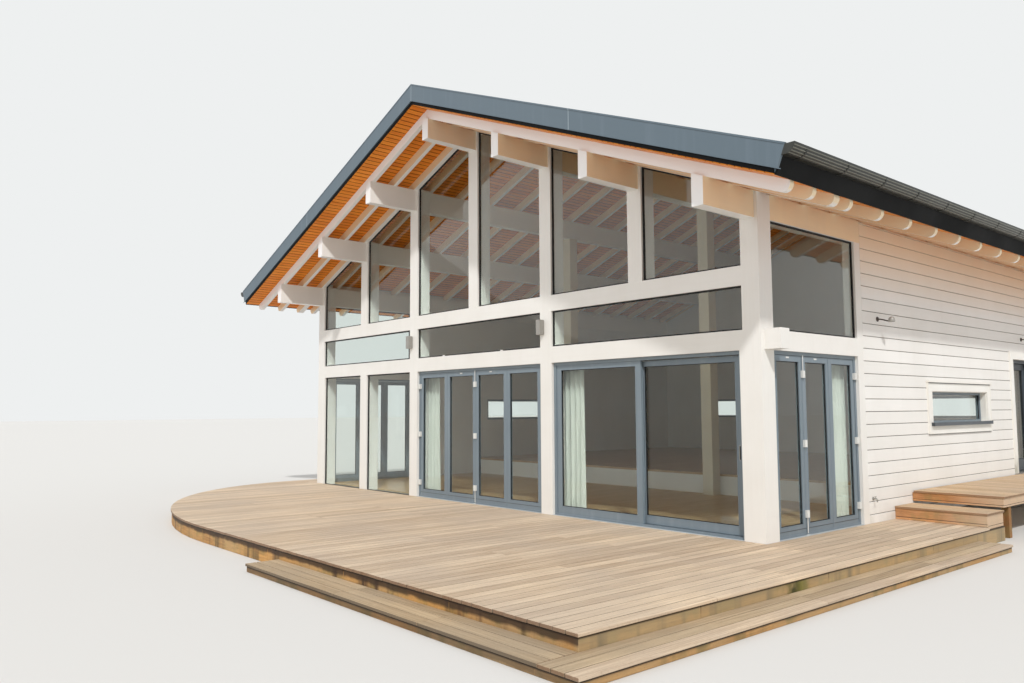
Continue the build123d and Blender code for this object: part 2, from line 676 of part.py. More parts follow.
panes.append(sheet(False, clear_start + SLIDING_STILE, fixed_end - SLIDING_STILE, leaf_low + LEAF_BOTTOM,
                   leaf_high - LEAF_TOP, outer_track + (SLIDING_THICK - GLASS) / 2))
run_start = middle - SLIDING_OVERLAP / 2
run_end = clear_end - RUNNING_GAP
run_low = leaf_low + RUNNING_GAP
run_high = leaf_high - RUNNING_GAP
rail_start = inner_track + (SLIDING_THICK - RAIL_WIDTH) / 2
rail_end = rail_start + RAIL_WIDTH
slide_bars[1] += box(clear_start, clear_end, rail_start, rail_end, leaf_low, run_low - SEAT_GAP)
save("sliding_door_frame", *slide_bars)
save("sliding_leaf", ring(False, run_start, run_end, run_low, run_high, inner_track,
                          inner_track + SLIDING_THICK, SLIDING_STILE, LEAF_TOP, LEAF_BOTTOM))
sliding_pane = sheet(False, run_start + SLIDING_STILE, run_end - SLIDING_STILE, run_low + LEAF_BOTTOM,
                     run_high - LEAF_TOP, inner_track + (SLIDING_THICK - GLASS) / 2)
save("sliding_leaf_glass", sliding_pane)

# Ribbon windows: one in each side wall and two in the rear wall
ribbon_low = level(RIBBON_SILL)
ribbon_high = ribbon_low + RIBBON_HEIGHT
ribbon_end = RIBBON_START + RIBBON_WIDTH
ribbon_depth = WALL / 2
pane_depth = ribbon_depth + (DOOR_FRAME_DEPTH - GLASS) / 2
wall_rear = HOUSE_DEPTH - WALL
rear_starts = (-REAR_WINDOW_OFFSET - RIBBON_WIDTH / 2, REAR_WINDOW_OFFSET - RIBBON_WIDTH / 2)


def ribbon_window(side_wall, a0, t0, pane_t0):
    """The frame and the pane of a ribbon window: t0 and pane_t0 are how far in they start."""
    a1 = a0 + RIBBON_WIDTH
    frame = ring(side_wall, a0, a1, ribbon_low, ribbon_high, t0, t0 + DOOR_FRAME_DEPTH, RIBBON_FRAME,
                 RIBBON_FRAME, RIBBON_FRAME)
    pane = sheet(side_wall, a0 + RIBBON_FRAME, a1 - RIBBON_FRAME, ribbon_low + RIBBON_FRAME,
                 ribbon_high - RIBBON_FRAME, pane_t0)
    return frame, pane


side_ribbon = ribbon_window(True, RIBBON_START, ribbon_depth, pane_depth)
rear_ribbons = [ribbon_window(False, start, HOUSE_DEPTH - ribbon_depth - DOOR_FRAME_DEPTH,
                              HOUSE_DEPTH - pane_depth - GLASS) for start in rear_starts]
save("ribbon_window_frames", *both_sides([side_ribbon[0]]), *[frame for frame, pane in rear_ribbons])
panes += front_leaf_panes + both_sides([*side_leaf_panes, tall_pane, side_ribbon[1]])
save("window_panes", *panes, *[pane for frame, pane in rear_ribbons])

# Side walls, split beside, under and over the entrance door
entrance_end = ENTRANCE_START + ENTRANCE_WIDTH
entrance_sill = level(RAISED_FLOOR_RISE)
entrance_head = entrance_sill + ENTRANCE_HEIGHT


def side_wall(y0, y1, z0, z1):
    """A stretch of the right side wall."""
    return box(INNER_HALF, HALF_HOUSE, y0, y1, z0, z1)


ribbon_hole = side_wall(RIBBON_START, ribbon_end, ribbon_low, ribbon_high)
save("right_wall_front", side_wall(SIDE_POST_END, ENTRANCE_START, FOUNDATION_TOP, wall_top) - ribbon_hole)
save("right_wall_door_bay", side_wall(ENTRANCE_START, entrance_end, FOUNDATION_TOP, entrance_sill),
     side_wall(ENTRANCE_START, entrance_end, entrance_head, wall_top))
save("right_wall_rear", side_wall(entrance_end, wall_rear, FOUNDATION_TOP, wall_top))
save("left_wall", across(side_wall(SIDE_POST_END, wall_rear, FOUNDATION_TOP, wall_top) - ribbon_hole))

# Rear gable wall, slotted for the purlins, with its two ribbon windows
rear_outline = [(-HALF_HOUSE, FOUNDATION_TOP), (HALF_HOUSE, FOUNDATION_TOP), (HALF_HOUSE, seat(HALF_HOUSE)),
                (0, seat(0)), (-HALF_HOUSE, seat(HALF_HOUSE))]
rear_wall = prism(rear_outline, wall_rear, HOUSE_DEPTH)
for x in purlin_lines:
    rear_wall -= box(x - half_beam, x + half_beam, wall_rear - CUT, HOUSE_DEPTH + CUT, purlin_soffit(x),
                     seat(0) + CUT)
for start in rear_starts:
    rear_wall -= box(start, start + RIBBON_WIDTH, wall_rear - CUT, HOUSE_DEPTH + CUT, ribbon_low, ribbon_high)
save("rear_wall", rear_wall)

# Trim boards and sills of the ribbon windows
trim_low = ribbon_low - RIBBON_TRIM
trim_high = ribbon_high + RIBBON_TRIM
sill_low = ribbon_low - SILL_THICK
side_trim = ring(True, RIBBON_START - RIBBON_TRIM, ribbon_end + RIBBON_TRIM, trim_low, trim_high,
                 -TRIM_THICK, 0, RIBBON_TRIM, RIBBON_TRIM, RIBBON_TRIM)
side_sill = wall_block(True, RIBBON_START - SILL_NOSE, ribbon_end + SILL_NOSE, sill_low, ribbon_low,
                       -SILL_NOSE, -TRIM_THICK)
trims = both_sides([side_trim])
sills = both_sides([side_sill])
for start in rear_starts:
    end = start + RIBBON_WIDTH
    trims.append(ring(False, start - RIBBON_TRIM, end + RIBBON_TRIM, trim_low, trim_high, HOUSE_DEPTH,
                      HOUSE_DEPTH + TRIM_THICK, RIBBON_TRIM, RIBBON_TRIM, RIBBON_TRIM))
    sills.append(box(start - SILL_NOSE, end + SILL_NOSE, HOUSE_DEPTH + TRIM_THICK, HOUSE_DEPTH + SILL_NOSE,
                     sill_low, ribbon_low))
save("ribbon_window_trim", *trims)
save("ribbon_window_sills", *sills)

# Entrance door: frame and trim boards on the wall, and a glazed leaf that opens inwards
frame_near = ENTRANCE_START + ENTRANCE_FRAME
frame_far = entrance_end - ENTRANCE_FRAME
frame_outer_x = HALF_HOUSE - (WALL - ENTRANCE_FRAME_DEPTH)
near_jamb = box(INNER_HALF, frame_outer_x, ENTRANCE_START, frame_near, entrance_sill, entrance_head)
far_jamb = box(INNER_HALF, frame_outer_x, frame_far, entrance_end, entrance_sill, entrance_head)
head_low = entrance_head - ENTRANCE_FRAME
head_bar = box(INNER_HALF, frame_outer_x, frame_near + JOINT, frame_far - JOINT, head_low, entrance_head)
trim_outer = HALF_HOUSE + TRIM_THICK
trim_top = entrance_head + ENTRANCE_TRIM
near_trim_start = ENTRANCE_START - ENTRANCE_TRIM
near_trim = box(HALF_HOUSE, trim_outer, near_trim_start, ENTRANCE_START, entrance_sill, trim_top)
far_trim = box(HALF_HOUSE, trim_outer, entrance_end, entrance_end + ENTRANCE_TRIM, entrance_sill, trim_top)
head_trim = box(HALF_HOUSE, trim_outer, ENTRANCE_START + JOINT, entrance_end - JOINT, entrance_head, trim_top)
save("entrance_trim", near_trim, far_trim, head_trim)
leaf_start = frame_near + RUNNING_GAP
leaf_end = frame_far - RUNNING_GAP
leaf_bottom = entrance_sill + RUNNING_GAP
leaf_top = head_low - RUNNING_GAP
leaf_depth = WALL - ENTRANCE_THICK
leaf_outer_x = HALF_HOUSE - leaf_depth
bottom_rail = ENTRANCE_STILE * 2
entrance_leaf = ring(True, leaf_start, leaf_end, leaf_bottom, leaf_top, leaf_depth, WALL, ENTRANCE_STILE,
                     ENTRANCE_STILE, bottom_rail)
knob_y = leaf_start + ENTRANCE_STILE / 2
knob_z = entrance_sill + KNOB_HEIGHT
for face, side in ((leaf_outer_x, 1), (INNER_HALF, -1)):
    entrance_leaf += rod_x(*sorted((face, face + side * ROSE_THICK)), knob_y, knob_z, ROSE_RADIUS)
    entrance_leaf += rod_x(*sorted((face, face + side * KNOB_REACH)), knob_y, knob_z, KNOB_RADIUS)
hinge_x = INNER_HALF - HINGE_RADIUS
hinge_y = (leaf_end + frame_far) / 2


def hinge_half(low, reach):
    """One knuckle of a hinge with the plate that holds it, reaching back (+) or forward (-)."""
    knuckle = rod_z(hinge_x, hinge_y, low, low + HINGE_KNUCKLE, HINGE_RADIUS)
    edges = sorted((hinge_y, hinge_y + reach))
    return knuckle + box(INNER_HALF - HINGE_PLATE, INNER_HALF, *edges, low, low + HINGE_KNUCKLE)


hinge_height = 2 * HINGE_KNUCKLE + SEAT_GAP
hinge_pitch = (leaf_top - leaf_bottom - 2 * HINGE_INSET - hinge_height) / (HINGE_COUNT - 1)
for number in range(HINGE_COUNT):
    low = leaf_bottom + HINGE_INSET + number * hinge_pitch
    far_jamb += hinge_half(low, HINGE_PLATE_REACH)
    entrance_leaf += hinge_half(low + HINGE_KNUCKLE + SEAT_GAP, -HINGE_PLATE_REACH)
save("entrance_frame", near_jamb, far_jamb, head_bar)
save("entrance_door", entrance_leaf)
save("entrance_door_glass", sheet(True, leaf_start + ENTRANCE_STILE, leaf_end - ENTRANCE_STILE,
                                  leaf_bottom + bottom_rail, leaf_top - ENTRANCE_STILE,
                                  leaf_depth + (ENTRANCE_THICK - GLASS) / 2))

# Main deck: straight front, square right corner and a long curve round to the left wall
deck_right = HALF_HOUSE + DECK_SIDE
deck_under = DECK_TOP - DECK_BOARD


def deck_outline(inset):
    """The deck's outline, drawn in from its edge, with the house left out."""
    front = -DECK_FRONT + inset
    right = deck_right - inset
    left_end = DECK_LEFT_END - inset
    curve_left = -DECK_CURVE_START - DECK_CURVE_REACH + inset
    curve = EllipticalCenterArc((-DECK_CURVE_START, 0), DECK_CURVE_REACH - inset, DECK_FRONT - inset,
                                start_angle=180, arc_size=90)
    edge = Polyline((-DECK_CURVE_START, front), (right, front), (right, SIDE_DECK_FRONT),
                    (HALF_HOUSE, SIDE_DECK_FRONT), (HALF_HOUSE, 0), (-HALF_HOUSE, 0),
                    (-HALF_HOUSE, left_end), (curve_left, left_end), (curve_left, 0))
    return make_face([curve, edge])


save("main_deck", plate(deck_outline(0), deck_under, DECK_TOP))


def main_deck_frame():
    """The skirt under the deck's edge and the bearers that carry its boards."""
    body = plate(deck_outline(DECK_NOSE), 0, deck_under)
    body -= plate(deck_outline(DECK_NOSE + DECK_SKIRT), -CUT, deck_under + CUT)
    inside = plate(deck_outline(DECK_NOSE + DECK_SKIRT / 2), 0, deck_under)
    curve_left = -DECK_CURVE_START - DECK_CURVE_REACH
    count = int((DECK_FRONT - FIRST_BEARER) // DECK_BEARER_PITCH) + 1
    for number in range(count):
        y = -DECK_FRONT + FIRST_BEARER + DECK_BEARER_PITCH * number
        body += box(curve_left, deck_right, y, y + DECK_BEARER, 0, deck_under) & inside
    for x0, x1 in ((HALF_HOUSE, deck_right), (curve_left, -HALF_HOUSE)):
        body += box(x0, x1, WALK_BEARER, WALK_BEARER + DECK_BEARER, 0, deck_under) & inside
    return body


# Side deck at the entrance, on a skirt and posts
side_top = level(SIDE_DECK_RISE)
side_under = side_top - DECK_BOARD
side_start = HALF_HOUSE + TRIM_THICK
save("side_deck", box(side_start, deck_right, SIDE_DECK_FRONT, SIDE_DECK_END, side_under, side_top))


def side_deck_frame():
    """The skirt round the side deck and the posts behind its outer board."""
    low = side_under - SIDE_DECK_SKIRT
    outer = deck_right - DECK_NOSE
    inner = outer - DECK_SKIRT
    front = SIDE_DECK_FRONT + DECK_NOSE
    rear = SIDE_DECK_END - DECK_NOSE
    body = box(HALF_HOUSE, inner, front, front + DECK_SKIRT, low, side_under)
    body += box(inner, outer, front, rear, low, side_under)
    body += box(HALF_HOUSE, inner, rear - DECK_SKIRT, rear, low, side_under)
    first = SIDE_DECK_FRONT + FIRST_DECK_POST
    pitch = (rear - DECK_SKIRT - SIDE_DECK_POST - first) / (SIDE_DECK_POST_COUNT - 1)
    for number in range(SIDE_DECK_POST_COUNT):
        start = first + number * pitch
        body += box(inner - SIDE_DECK_POST, inner, start, start + SIDE_DECK_POST, 0, side_under)
    return body


save("deck_frames", main_deck_frame(), side_deck_frame())

# Steps: a low one along the front and right edges, and one up to the side deck
step_top = DECK_TOP - LOWER_STEP_DROP
step_under = step_top - DECK_BOARD
skirt_front = -DECK_FRONT + DECK_NOSE
skirt_right = deck_right - DECK_NOSE
step_front = skirt_front - LOWER_STEP_WIDTH
step_right = skirt_right + LOWER_STEP_WIDTH


def step_outline(inset):
    """The L-shaped outline of the lower step."""
    points = [(LOWER_STEP_START + inset, step_front + inset), (step_right - inset, step_front + inset),
              (step_right - inset, LOWER_STEP_END - inset), (skirt_right, LOWER_STEP_END - inset),
              (skirt_right, skirt_front), (LOWER_STEP_START + inset, skirt_front)]
    return make_face(Polyline(points, close=True))


lower_step = plate(step_outline(0), step_under, step_top) + plate(step_outline(DECK_NOSE), 0, step_under)
side_step_top = level(SIDE_STEP_RISE)
side_step_under = side_step_top - DECK_BOARD
side_step = box(HALF_HOUSE, skirt_right, SIDE_STEP_FRONT, SIDE_DECK_FRONT + DECK_NOSE, side_step_under,
                side_step_top)
side_step += box(HALF_HOUSE, skirt_right - DECK_NOSE, SIDE_STEP_FRONT + DECK_NOSE, SIDE_DECK_FRONT, DECK_TOP,
                 side_step_under)
save("deck_steps", lower_step, side_step)


# Lamps: upright boxes on two front posts, and shades on arms on the right wall
def post_lamp(x):
    """A box that lights up and down, with a shallow lens recess in each end."""
    y0 = -POST_LAMP_DEPTH
    z0 = level(LOWER_TRANSOM_TOP) + POST_LAMP_RISE
    z1 = z0 + POST_LAMP_HEIGHT
    body = box(x, x + POST_LAMP_WIDTH, y0, 0, z0, z1)
    for low in (z0 - CUT, z1 - LENS_DEPTH):
        body -= box(x + LENS_EDGE, x + POST_LAMP_WIDTH - LENS_EDGE, y0 + LENS_EDGE, -LENS_EDGE, low,
                    low + LENS_DEPTH + CUT)
    return body


def arm_lamp(y):
    """A domed shade at the end of a bent arm from a round rose."""
    z = level(ARM_LAMP_HEIGHT)
    rose_face = HALF_HOUSE + ARM_ROSE_THICK
    tip_x = HALF_HOUSE + ARM_REACH
    tip_z = z - ARM_DROP
    body = rod_x(HALF_HOUSE, rose_face, y, z, ARM_ROSE_RADIUS)
    arm = [(HALF_HOUSE + ARM_ROSE_THICK / 2, y, z), (HALF_HOUSE + ARM_REACH / 3, y, z), (tip_x, y, tip_z)]
    body += bent_rod(arm, ARM_RADIUS, ARM_BEND)
    crown = tip_z + SHADE_RADIUS / 2
    low = crown + SHADE_RADIUS - SHADE_HEIGHT
    dome = Pos(tip_x, y, crown) * Sphere(SHADE_RADIUS)
    half = SHADE_RADIUS + CUT
    dome &= box(tip_x - half, tip_x + half, y - half, y + half, crown, crown + half)
    return body + dome + rod_z(tip_x, y, low, crown, SHADE_RADIUS)


post_lamps = [post_lamp(x - stud_face + POST_LAMP_INSET) for x in main_lines[1:3]]
save("wall_lamps", *post_lamps, *[arm_lamp(y) for y in ARM_LAMP_PLACES])

# Garden tap: rose, body, turned-down spout and lever
tap_z = level(TAP_HEIGHT)
tap_tip = HALF_HOUSE + TAP_REACH
tap = rod_x(HALF_HOUSE, HALF_HOUSE + TAP_BODY_RADIUS, TAP_PLACE, tap_z, TAP_ROSE_RADIUS)
tap += rod_x(HALF_HOUSE, tap_tip, TAP_PLACE, tap_z, TAP_BODY_RADIUS)
tap += rod_z(tap_tip - TAP_BODY_RADIUS, TAP_PLACE, tap_z - TAP_SPOUT, tap_z, TAP_BODY_RADIUS)
tap += rod_z(HALF_HOUSE + TAP_REACH / 2, TAP_PLACE, tap_z, tap_z + TAP_SPOUT / 2, TAP_BODY_RADIUS / 2)
lever_low = tap_z + TAP_SPOUT / 2
tap += box(HALF_HOUSE + TAP_REACH / 2 - TAP_BODY_RADIUS / 2, HALF_HOUSE + TAP_REACH / 2 + TAP_BODY_RADIUS / 2,
           TAP_PLACE - TAP_LEVER / 2, TAP_PLACE + TAP_LEVER / 2, lever_low, lever_low + TAP_BODY_RADIUS / 2)
save("garden_tap", tap)
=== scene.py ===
"""Looks of the beach house: finishes, boards, seams, seals, fittings, curtains, light and camera."""

import logging
import math
from dataclasses import dataclass, replace
from enum import Enum
from typing import Any, Sequence

import bpy
import numpy as np
from mathutils import Matrix


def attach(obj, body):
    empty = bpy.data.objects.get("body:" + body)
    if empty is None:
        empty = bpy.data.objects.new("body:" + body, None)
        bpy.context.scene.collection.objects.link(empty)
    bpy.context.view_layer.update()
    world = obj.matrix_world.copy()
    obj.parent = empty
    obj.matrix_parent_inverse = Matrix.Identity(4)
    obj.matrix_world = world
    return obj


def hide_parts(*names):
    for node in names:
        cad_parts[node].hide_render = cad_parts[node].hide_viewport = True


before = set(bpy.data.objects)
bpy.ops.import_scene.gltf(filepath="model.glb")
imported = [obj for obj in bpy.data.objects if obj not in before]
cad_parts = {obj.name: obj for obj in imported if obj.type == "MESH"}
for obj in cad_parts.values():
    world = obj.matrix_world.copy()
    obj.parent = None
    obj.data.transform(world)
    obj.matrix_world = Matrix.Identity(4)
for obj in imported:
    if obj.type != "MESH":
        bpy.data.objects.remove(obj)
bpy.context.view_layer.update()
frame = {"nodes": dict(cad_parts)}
LOG = logging.getLogger("beach_house")
Array = np.ndarray
Socket = bpy.types.NodeSocket
Span = tuple[float, float]  # a start and an end
Shell = tuple[Array, list[Array]]  # points, and faces as numbers of points
HOUSE = "house"

# Heights over the ground and main lines of the house, in metres
DECK_TOP = 0.22
RAFTER_SEAT = 6.595
SLOPE = 0.4
HALF_HOUSE = 5.525
INNER_HALF = 5.345
HOUSE_DEPTH = 12.0
WALL = 0.18
WALL_TOP = 4.075
SIDE_BAY = (0.275, 2.355)
# Openings in the side walls as start, end, foot and head, and the middles of the rear windows
WINDOW = (4.63, 6.83, 1.53, 2.04)
DOOR = (8.15, 9.20, 0.595, 2.655)
REAR_WINDOWS = (-2.7, 2.7)
# The gap that keeps two pieces apart, and the angles up to which faces shade as one and from which
# edges are chamfered
HAIR = 0.0005
SMOOTH_UP_TO = math.radians(35)
CHAMFER_FROM = math.radians(40)


def seat(x: Array | float) -> Array | float:
    """Height of the underside of the rafters at x: it falls by the slope to each side."""
    return RAFTER_SEAT - SLOPE * np.abs(x)


def srgb(code: str) -> tuple[float, float, float, float]:
    """Turns a screen colour into a linear one.

    A value on the screen curve's straight foot is divided by 12.92. Above it, the value plus 0.055 is
    divided by 1.055 and raised to the power of 2.4.

    Args:
        code: red, green and blue as six hex digits.

    Returns:
        Linear red, green and blue, and full alpha.
    """
    screen = np.array([int(code[i:i + 2], 16) for i in (0, 2, 4)]) / 255
    linear = np.where(screen <= 0.04045, screen / 12.92, ((screen + 0.055) / 1.055) ** 2.4)
    return (*linear.tolist(), 1.0)


class Graph:
    """A node tree that is filled by short calls."""

    def __init__(self, tree: bpy.types.NodeTree) -> None:
        """Takes over a node tree."""
        self.tree = tree

    def feed(self, socket: Socket, value: Any) -> None:
        """Links a socket to another one, or sets it to a constant.

        Args:
            socket: the input that is fed.
            value: the other socket, or the constant.
        """
        if isinstance(value, bpy.types.NodeSocket):
            self.tree.links.new(value, socket)
        else:
            socket.default_value = value

    def add(self, kind: str, feeds: dict | None = None, **settings: Any) -> bpy.types.Node:
        """Adds a shader node.

        Args:
            kind: the node's type without its ShaderNode prefix.
            feeds: what each input gets, by name or number.
            settings: the node's own options.

        Returns:
            The new node.
        """
        node = self.tree.nodes.new("ShaderNode" + kind)
        for key, value in settings.items():
            setattr(node, key, value)
        for key, value in (feeds or {}).items():
            self.feed(node.inputs[key], value)
        return node

    def math(self, operation: str, first: Any, second: Any = 0.0) -> Socket:
        """The result of an operation on one or two values."""
        return self.add("Math", {0: first, 1: second}, operation=operation).outputs[0]

    def plus(self, first: Any, second: Any) -> Socket:
        """The sum of two values."""
        return self.math("ADD", first, second)

    def times(self, first: Any, second: Any) -> Socket:
        """The product of two values."""
        return self.math("MULTIPLY", first, second)

    def mix(self, factor: Any, first: Any, second: Any) -> Socket:
        """A blend of two colours."""
        return self.add("Mix", {0: factor, 6: first, 7: second}, data_type="RGBA").outputs[2]

    def spread(self, value: Any, low: float, high: float, out_low: float = 0.0,
               out_high: float = 1.0) -> Socket:
        """Maps a range of values onto another one, held at its ends."""
        feeds = {"Value": value, "From Min": low, "From Max": high, "To Min": out_low, "To Max": out_high}
        return self.add("MapRange", feeds, clamp=True).outputs[0]

    def noise(self, vector: Any, scale: Any, detail: float, **more: Any) -> Socket:
        """A cloudy noise over the given coordinates."""
        return self.add("TexNoise", {"Vector": vector, "Scale": scale, "Detail": detail, **more}).outputs[0]

    def scaled(self, vector: Any, factors: Any) -> Socket:
        """Coordinates multiplied by a factor for each axis."""
        return self.add("VectorMath", {0: vector, 1: factors}, operation="MULTIPLY").outputs[0]

    def axes(self, vector: Any) -> Any:
        """The X, Y and Z of a vector."""
        return self.add("SeparateXYZ", {0: vector}).outputs

    def normal(self) -> Any:
        """The X, Y and Z of the direction that a face looks in."""
        return self.axes(self.add("NewGeometry").outputs["True Normal"])


class Effect(Enum):
    """Surface effects that several finishes share, each as one shader group."""

    GRAIN = "wood_grain"
    WEATHER = "weather_marks"
    RUNS = "water_runs"
    WEAVE = "cloth_weave"

    def on(self, graph: Graph, **feeds: Any) -> Any:
        """Places the effect in a graph with its own values, and gives its outputs."""
        return graph.add("Group", feeds, node_tree=self.tree()).outputs

    def tree(self) -> bpy.types.NodeTree:
        """Builds the effect's shader group on first use.

        Returns:
            The group.
        """
        made = bpy.data.node_groups.get(self.value)
        if made is None:
            made = bpy.data.node_groups.new(self.value, "ShaderNodeTree")
            {Effect.GRAIN: self.build_grain, Effect.WEATHER: self.build_weather,
             Effect.RUNS: self.build_runs, Effect.WEAVE: self.build_weave}[self](made)
        return made

    @staticmethod
    def sockets(tree: bpy.types.NodeTree, inputs: dict[str, Any], outputs: Sequence[str]) -> tuple:
        """Gives a group its named sockets.

        Args:
            tree: the group.
            inputs: each input's name with its default, None for a vector.
            outputs: the names of the values it puts out.

        Returns:
            The graph, the sockets that bring values in and the sockets that take them out.
        """
        for name, default in inputs.items():
            kind = "NodeSocketVector" if default is None else "NodeSocketFloat"
            socket = tree.interface.new_socket(name, in_out="INPUT", socket_type=kind)
            if default is not None:
                socket.default_value = default
        for name in outputs:
            tree.interface.new_socket(name, in_out="OUTPUT", socket_type="NodeSocketFloat")
        start = tree.nodes.new("NodeGroupInput")
        return Graph(tree), start.outputs, tree.nodes.new("NodeGroupOutput").inputs

    def build_grain(self, tree: bpy.types.NodeTree) -> None:
        """Grain: long fibres from noise on drawn-out coordinates, with fine pores across them.

        Args:
            tree: the new group.
        """
        inputs = {"Vector": None, "Fibre": 1.0, "Shift": 0.0}
        graph, start, end = self.sockets(tree, inputs, ("Grain", "Pores"))
        moved = graph.add("VectorMath", {0: start["Vector"], 1: start["Shift"]}, operation="ADD").outputs[0]
        fibres = graph.noise(moved, start["Fibre"], 5.0, Roughness=0.62, Distortion=0.35)
        pores = graph.noise(moved, graph.times(start["Fibre"], 5.0), 2.0)
        graph.feed(end["Grain"], graph.spread(fibres, 0.3, 0.7))
        graph.feed(end["Pores"], graph.spread(pores, 0.35, 0.7))

    def build_weather(self, tree: bpy.types.NodeTree) -> None:
        """Weather: soft patches from large noise and specks from small noise.

        Args:
            tree: the new group.
        """
        inputs = {"Vector": None, "Patch": 1.0, "Speck": 40.0}
        graph, start, end = self.sockets(tree, inputs, ("Patches", "Specks"))
        patches = graph.noise(start["Vector"], start["Patch"], 4.0)
        specks = graph.noise(start["Vector"], start["Speck"], 2.0)
        graph.feed(end["Patches"], graph.spread(patches, 0.36, 0.66))
        graph.feed(end["Specks"], graph.spread(specks, 0.55, 0.75))

    def build_runs(self, tree: bpy.types.NodeTree) -> None:
        """Runs: upright streaks from noise that changes fast sideways and slowly in height.

        Args:
            tree: the new group.
        """
        graph, start, end = self.sockets(tree, {"Vector": None, "Width": 9.0}, ("Runs",))
        streaks = graph.noise(graph.scaled(start["Vector"], (1.0, 1.0, 0.07)), start["Width"], 3.0)
        graph.feed(end["Runs"], graph.spread(streaks, 0.52, 0.78))

    def build_weave(self, tree: bpy.types.NodeTree) -> None:
        """Weave: the sum of two wave patterns, one along the cloth and one across it.

        Args:
            tree: the new group.
        """
        graph, start, end = self.sockets(tree, {"Vector": None, "Threads": 160.0}, ("Threads",))
        feeds = {"Vector": start["Vector"], "Scale": start["Threads"], "Distortion": 0.6}
        warp = graph.add("TexWave", feeds).outputs[1]
        weft = graph.add("TexWave", feeds, bands_direction="Y").outputs[1]
        graph.feed(end["Threads"], graph.plus(warp, weft))


class Surface(Graph):
    """A material's nodes, with its shader, its coordinates and the colour mixed so far."""

    def __init__(self, tree: bpy.types.NodeTree, code: str) -> None:
        """Takes over a new material's nodes.

        Args:
            tree: the material's node tree.
            code: its first colour.
        """
        super().__init__(tree)
        self.shader = tree.nodes["Principled BSDF"]
        self.place = self.add("TexCoord").outputs["Object"]
        self.color: Any = srgb(code)
        self.put("Base Color", self.color)

    def put(self, name: str, value: Any) -> None:
        """Feeds one of the shader's inputs."""
        self.feed(self.shader.inputs[name], value)

    def tint(self, factor: Any, code: str) -> None:
        """Mixes another colour into the one so far."""
        self.color = self.mix(factor, self.color, srgb(code))

    def bump(self, height: Any, depth: float) -> None:
        """Turns a height into relief of the given depth in metres."""
        relief = self.add("Bump", {"Strength": 1.0, "Distance": depth, "Height": height})
        self.put("Normal", relief.outputs[0])

    def tone(self) -> Socket:
        """The shade that each loose board carries as an attribute."""
        return self.add("Attribute", attribute_name="tone").outputs["Fac"]


@dataclass(frozen=True)
class Finish:
    """A finish with one main colour, for one of the record's slots; each kind dresses its own shader."""

    label: str
    color: str
    roughness: float = 0.5
    slot: str = "white_timber"

    def material(self) -> bpy.types.Material:
        """Builds the Blender material on first use.

        Returns:
            The material.
        """
        made = bpy.data.materials.get(self.label)
        if made is None:
            made = bpy.data.materials.new(self.label)
            made.use_nodes = True
            graph = Surface(made.node_tree, self.color)
            graph.put("Roughness", self.roughness)
            self.dress(graph)
            graph.put("Base Color", graph.color)
        return made

    def dress(self, graph: Surface) -> None:
        """Adds what makes this kind of finish to the shader."""


@dataclass(frozen=True)
class PaintedTimber(Finish):
    """Opaque paint on planed timber, with faint grain, soft dirt patches and water runs."""

    shade: str = "c9c3b6"
    along: tuple[float, float, float] = (24.0, 24.0, 1.0)
    relief: float = 0.0006
    patching: float = 0.14
    running: float = 0.07
    graining: float = 0.08

    def dress(self, graph: Surface) -> None:
        """Grain as relief, patches and runs as a slightly darker tone.

        Args:
            graph: the material's nodes.
        """
        grain = Effect.GRAIN.on(graph, Vector=graph.scaled(graph.place, self.along), Fibre=1.0)
        patches = Effect.WEATHER.on(graph, Vector=graph.place, Patch=1.3, Speck=60.0)["Patches"]
        runs = Effect.RUNS.on(graph, Vector=graph.place, Width=7.0)["Runs"]
        dirt = graph.plus(graph.times(patches, self.patching), graph.times(runs, self.running))
        graph.tint(graph.plus(dirt, graph.times(grain["Grain"], self.graining)), self.shade)
        gloss = (self.roughness - 0.06, self.roughness + 0.1)
        graph.put("Roughness", graph.spread(grain["Pores"], 0.0, 1.0, *gloss))
        graph.bump(grain["Grain"], self.relief)


@dataclass(frozen=True)
class EavesTimber(PaintedTimber):
    """Painted timber under the roof: a cream base that is painted warm bounce light, and painted light that
    makes it whiter below, at the verge and left of the ridge.
    """

    # The light tone is painted light; the verge and the left fade say where it falls
    light: str = "f1f0ee"
    verge: float = -0.8
    left_painted_light: float = 0.0
    left_fade: Span = (-1.4, 0.4)

    def dress(self, graph: Surface) -> None:
        """The painted timber, with the light tone as painted light on undersides, verge fronts and the left
        side.

        Args:
            graph: the material's nodes.
        """
        super().dress(graph)
        axes, normal = graph.axes(graph.place), graph.normal()
        under = graph.spread(graph.times(normal["Z"], -1.0), 0.6, 0.9)
        forward = graph.spread(graph.times(normal["Y"], -1.0), 0.6, 0.9)
        outside = graph.spread(axes["Y"], self.verge, self.verge + 0.05, 1.0, 0.0)
        left = graph.spread(axes["X"], *self.left_fade, self.left_painted_light, 0.0)
        # Painted light on undersides, on forward faces at the verge and on the left side
        lighter = graph.math("MAXIMUM", under, graph.times(forward, outside))
        graph.tint(graph.math("MAXIMUM", lighter, left), self.light)


